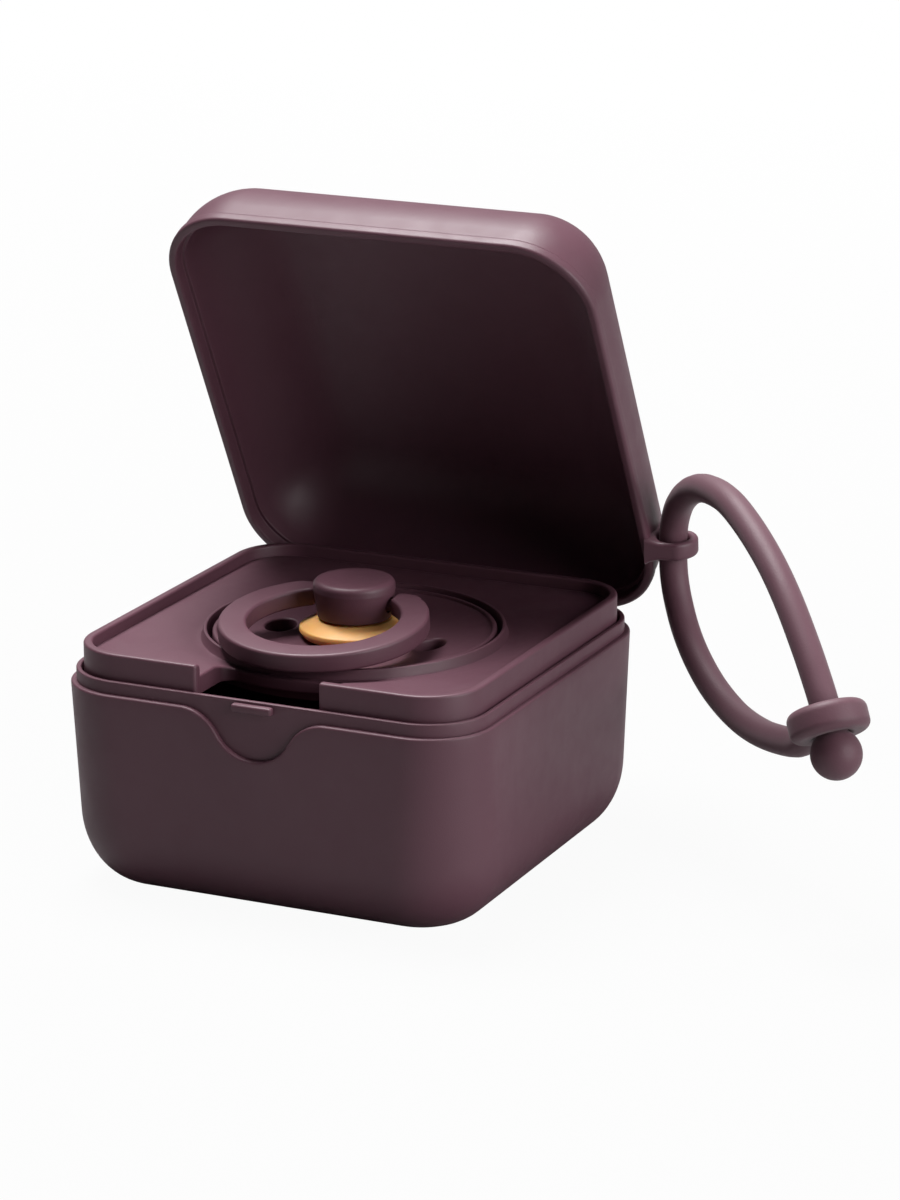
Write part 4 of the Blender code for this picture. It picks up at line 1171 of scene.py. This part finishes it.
def lid_mesh():
    crown = crown_stations(0, LID_DEPTH)
    ceiling = crown_stations(LID_WALL, LID_DEPTH - LID_WALL)[::-1]
    rim = eased(
        [
            ceiling[-1],
            (RIM_WIDTH + REBATE_STEP, REBATE_DEPTH, 0.0002),
            (RIM_WIDTH, REBATE_DEPTH, 0.0002),
            (RIM_WIDTH, 0, 0.00035),
            (0, 0, 0.00055),
            (0, BAND_HEIGHT, 0.00045),
            (BAND_PROUD, BAND_HEIGHT + 0.0001, 0.0002),
            crown[0],
        ],
        closed=False,
        steps=6,
    )
    stations = ceiling[:-1] + rim + crown[1:]
    return loft("lid_moulding", [lid_ring(*station) for station in stations])


def lug_mesh():
    """The strap's lug: an eye with rounded edges, and a root that flares along the lid's wall."""
    outer = LUG_HOLE + LUG_BAR
    root = -LUG_REACH - RIM_WIDTH * 0.3
    side = math.radians(60)

    def outline(inset):
        reach = outer - inset
        points = arc((0, 0), reach, -60, 60, 24)
        top = Vector((reach * math.cos(side), reach * math.sin(side)))
        foot = Vector((root, LUG_ROOT_HALF - inset))
        run = [tuple(top.lerp(foot, share / 8)) for share in range(1, 9)]
        return points + run + [(x, -y) for x, y in run[::-1]]

    def flare(x):
        deep = max(-x - LUG_HOLE * 0.2, 0) / (-root)
        return LUG_HALF + LUG_FLARE * min(deep, 1) ** 2

    def depth(x, y):
        radius = math.hypot(x, y)
        edge = outer - radius
        if math.atan2(abs(y), x) > side:
            start = Vector((outer * math.cos(side), outer * math.sin(side)))
            run = Vector((root, LUG_ROOT_HALF)) - start
            past = Vector((x, abs(y))) - start
            edge = (run.x * past.y - run.y * past.x) / run.length
        return edge, radius - LUG_HOLE

    def height(x, y):
        edge, hole = depth(x, y)
        return flare(x) - fall(max(edge, 0), LUG_ROUND) - fall(max(hole, 0), LUG_ROUND)

    def inside(x, y):
        return min(depth(x, y)) > BARELY_INSIDE

    def under(x, y):
        return -height(x, y)

    loops = [outline(inset) for inset in round_insets(LUG_ROUND)]
    loops += [circle(LUG_HOLE + inset, 72) for inset in round_insets(LUG_ROUND)]
    for share in (0.35, 0.55, 0.75, 0.9):
        x = root * share
        loops.append([(x, -LUG_ROOT_HALF * 0.98), (x, LUG_ROOT_HALF * 0.98), (x, 0)])
    mesh = plan_body("strap_lug", loops, inside, height, under)
    mesh.transform(Matrix.Translation(LUG_CENTRE) @ Matrix.Rotation(math.radians(90) + LUG_TURN, 4, "X"))
    return mesh


def make_lid():
    reliefs = []
    for side in (-1, 1):
        ends = sorted((side * LID_KNUCKLE_HALF, side * (BASE_KNUCKLE[1] + RUNNING_GAP)))
        reliefs.append(rod(f"lid_relief_{side}", KNUCKLE_RADIUS + RUNNING_GAP, *ends, ALONG_X))
    shell = carve("lid_moulding", lid_mesh(), cuts=reliefs)
    half = LID_KNUCKLE_HALF
    barrel = rod("lid_knuckle", KNUCKLE_RADIUS, -half, half, ALONG_X, edge=BARREL_EDGE)
    bore = rod("lid_bore", PIN_RADIUS + PIN_GAP, -0.012, 0.012, ALONG_X, BORE_STEPS)
    mesh = carve("lid_moulding", shell, cuts=[bore], joins=[barrel, lug_mesh()])
    mesh.transform(OPENED)
    return add_piece("lid_moulding", mesh, PLASTIC, "lid", "lid")


make_base()
make_pin()
make_tray()
make_shield()
make_nipple()
make_knob()
make_handle()
make_lid()


# Floor, backdrop, world and lamps
def plain_backdrop():
    shape = bmesh.new()
    sweep = arc((SWEEP_START, SWEEP_RADIUS), SWEEP_RADIUS, -90, 0, 12)[1:]
    top = (SWEEP_START + SWEEP_RADIUS, WALL_HEIGHT)
    rows = []
    for y, z in [(FLOOR_FRONT, 0), (SWEEP_START, 0)] + sweep + [top]:
        rows.append([shape.verts.new((x, y, z)) for x in (-FLOOR_HALF, FLOOR_HALF)])
    for first, second in zip(rows, rows[1:]):
        shape.faces.new((first[0], first[1], second[1], second[0]))
    mesh = bpy.data.meshes.new("backdrop")
    shape.to_mesh(mesh)
    shape.free()
    mesh.shade_smooth()
    backdrop = bpy.data.objects.new("backdrop", mesh)
    mesh.transform(Matrix.Rotation(CAMERA_TURN, 4, "Z"))
    material = bpy.data.materials.new("backdrop_white")
    material.use_nodes = True
    tree = material.node_tree
    tree.nodes.clear()
    output = tree.nodes.new("ShaderNodeOutputMaterial")
    paint = tree.nodes.new("ShaderNodeBsdfDiffuse")
    paint.inputs["Color"].default_value = (FLOOR_PAINT, FLOOR_PAINT, FLOOR_PAINT, 1)
    glow = tree.nodes.new("ShaderNodeEmission")
    glow.inputs["Color"].default_value = (1, 1, 1, 1)
    path = tree.nodes.new("ShaderNodeLightPath")
    place = tree.nodes.new("ShaderNodeSeparateXYZ")
    tree.links.new(object_coordinate(material), place.inputs[0])
    shares = []
    for ray, near, far, start, end in (CAMERA_GLOW, GLOSSY_GLOW):
        fade = add_range(material, place.outputs["Y"], near, far, start, end)
        share = tree.nodes.new("ShaderNodeMath")
        share.operation = "MULTIPLY"
        tree.links.new(path.outputs[ray], share.inputs[0])
        tree.links.new(fade, share.inputs[1])
        shares.append(share.outputs[0])
    total = tree.nodes.new("ShaderNodeMath")
    total.operation = "ADD"
    total.use_clamp = True
    mix = tree.nodes.new("ShaderNodeMixShader")
    tree.links.new(shares[0], total.inputs[0])
    tree.links.new(shares[1], total.inputs[1])
    tree.links.new(total.outputs[0], mix.inputs[0])
    tree.links.new(paint.outputs[0], mix.inputs[1])
    tree.links.new(glow.outputs[0], mix.inputs[2])
    tree.links.new(mix.outputs[0], output.inputs["Surface"])
    mesh.materials.append(material)
    bpy.context.scene.collection.objects.link(backdrop)


def studio_world():
    world = bpy.data.worlds.new("studio")
    bpy.context.scene.world = world
    world.use_nodes = True
    tree = world.node_tree
    tree.nodes.clear()
    output = tree.nodes.new("ShaderNodeOutputWorld")
    soft = tree.nodes.new("ShaderNodeBackground")
    soft.inputs["Color"].default_value = (1, 1, 1, 1)
    direction = tree.nodes.new("ShaderNodeTexCoord")
    lean = tree.nodes.new("ShaderNodeVectorMath")
    lean.operation = "DOT_PRODUCT"
    lean.inputs[1].default_value = SKY_LEAN
    tree.links.new(direction.outputs["Generated"], lean.inputs[0])
    fade = tree.nodes.new("ShaderNodeMapRange")
    fade.inputs["From Min"].default_value = 0.0
    fade.inputs["From Max"].default_value = 1.0
    fade.inputs["To Min"].default_value = SKY_LOW
    fade.inputs["To Max"].default_value = SKY_HIGH
    tree.links.new(lean.outputs["Value"], fade.inputs["Value"])
    tree.links.new(fade.outputs["Result"], soft.inputs["Strength"])
    white = tree.nodes.new("ShaderNodeBackground")
    white.inputs["Color"].default_value = (1, 1, 1, 1)
    white.inputs["Strength"].default_value = 1.0
    path = tree.nodes.new("ShaderNodeLightPath")
    mix = tree.nodes.new("ShaderNodeMixShader")
    tree.links.new(path.outputs["Is Camera Ray"], mix.inputs[0])
    tree.links.new(soft.outputs[0], mix.inputs[1])
    tree.links.new(white.outputs[0], mix.inputs[2])
    tree.links.new(mix.outputs[0], output.inputs["Surface"])


def add_softbox(name, place, size, power):
    data = bpy.data.lights.new(name, "AREA")
    data.shape = "RECTANGLE"
    data.size, data.size_y = size
    data.energy = power
    lamp = bpy.data.objects.new(name, data)
    lamp.location = place
    lamp.rotation_euler = (Vector(SOFTBOX_AIM) - Vector(place)).to_track_quat("-Z", "Y").to_euler()
    bpy.context.scene.collection.objects.link(lamp)


plain_backdrop()
studio_world()
for softbox in SOFTBOXES:
    add_softbox(*softbox)
bpy.context.scene.view_settings.view_transform = "Standard"
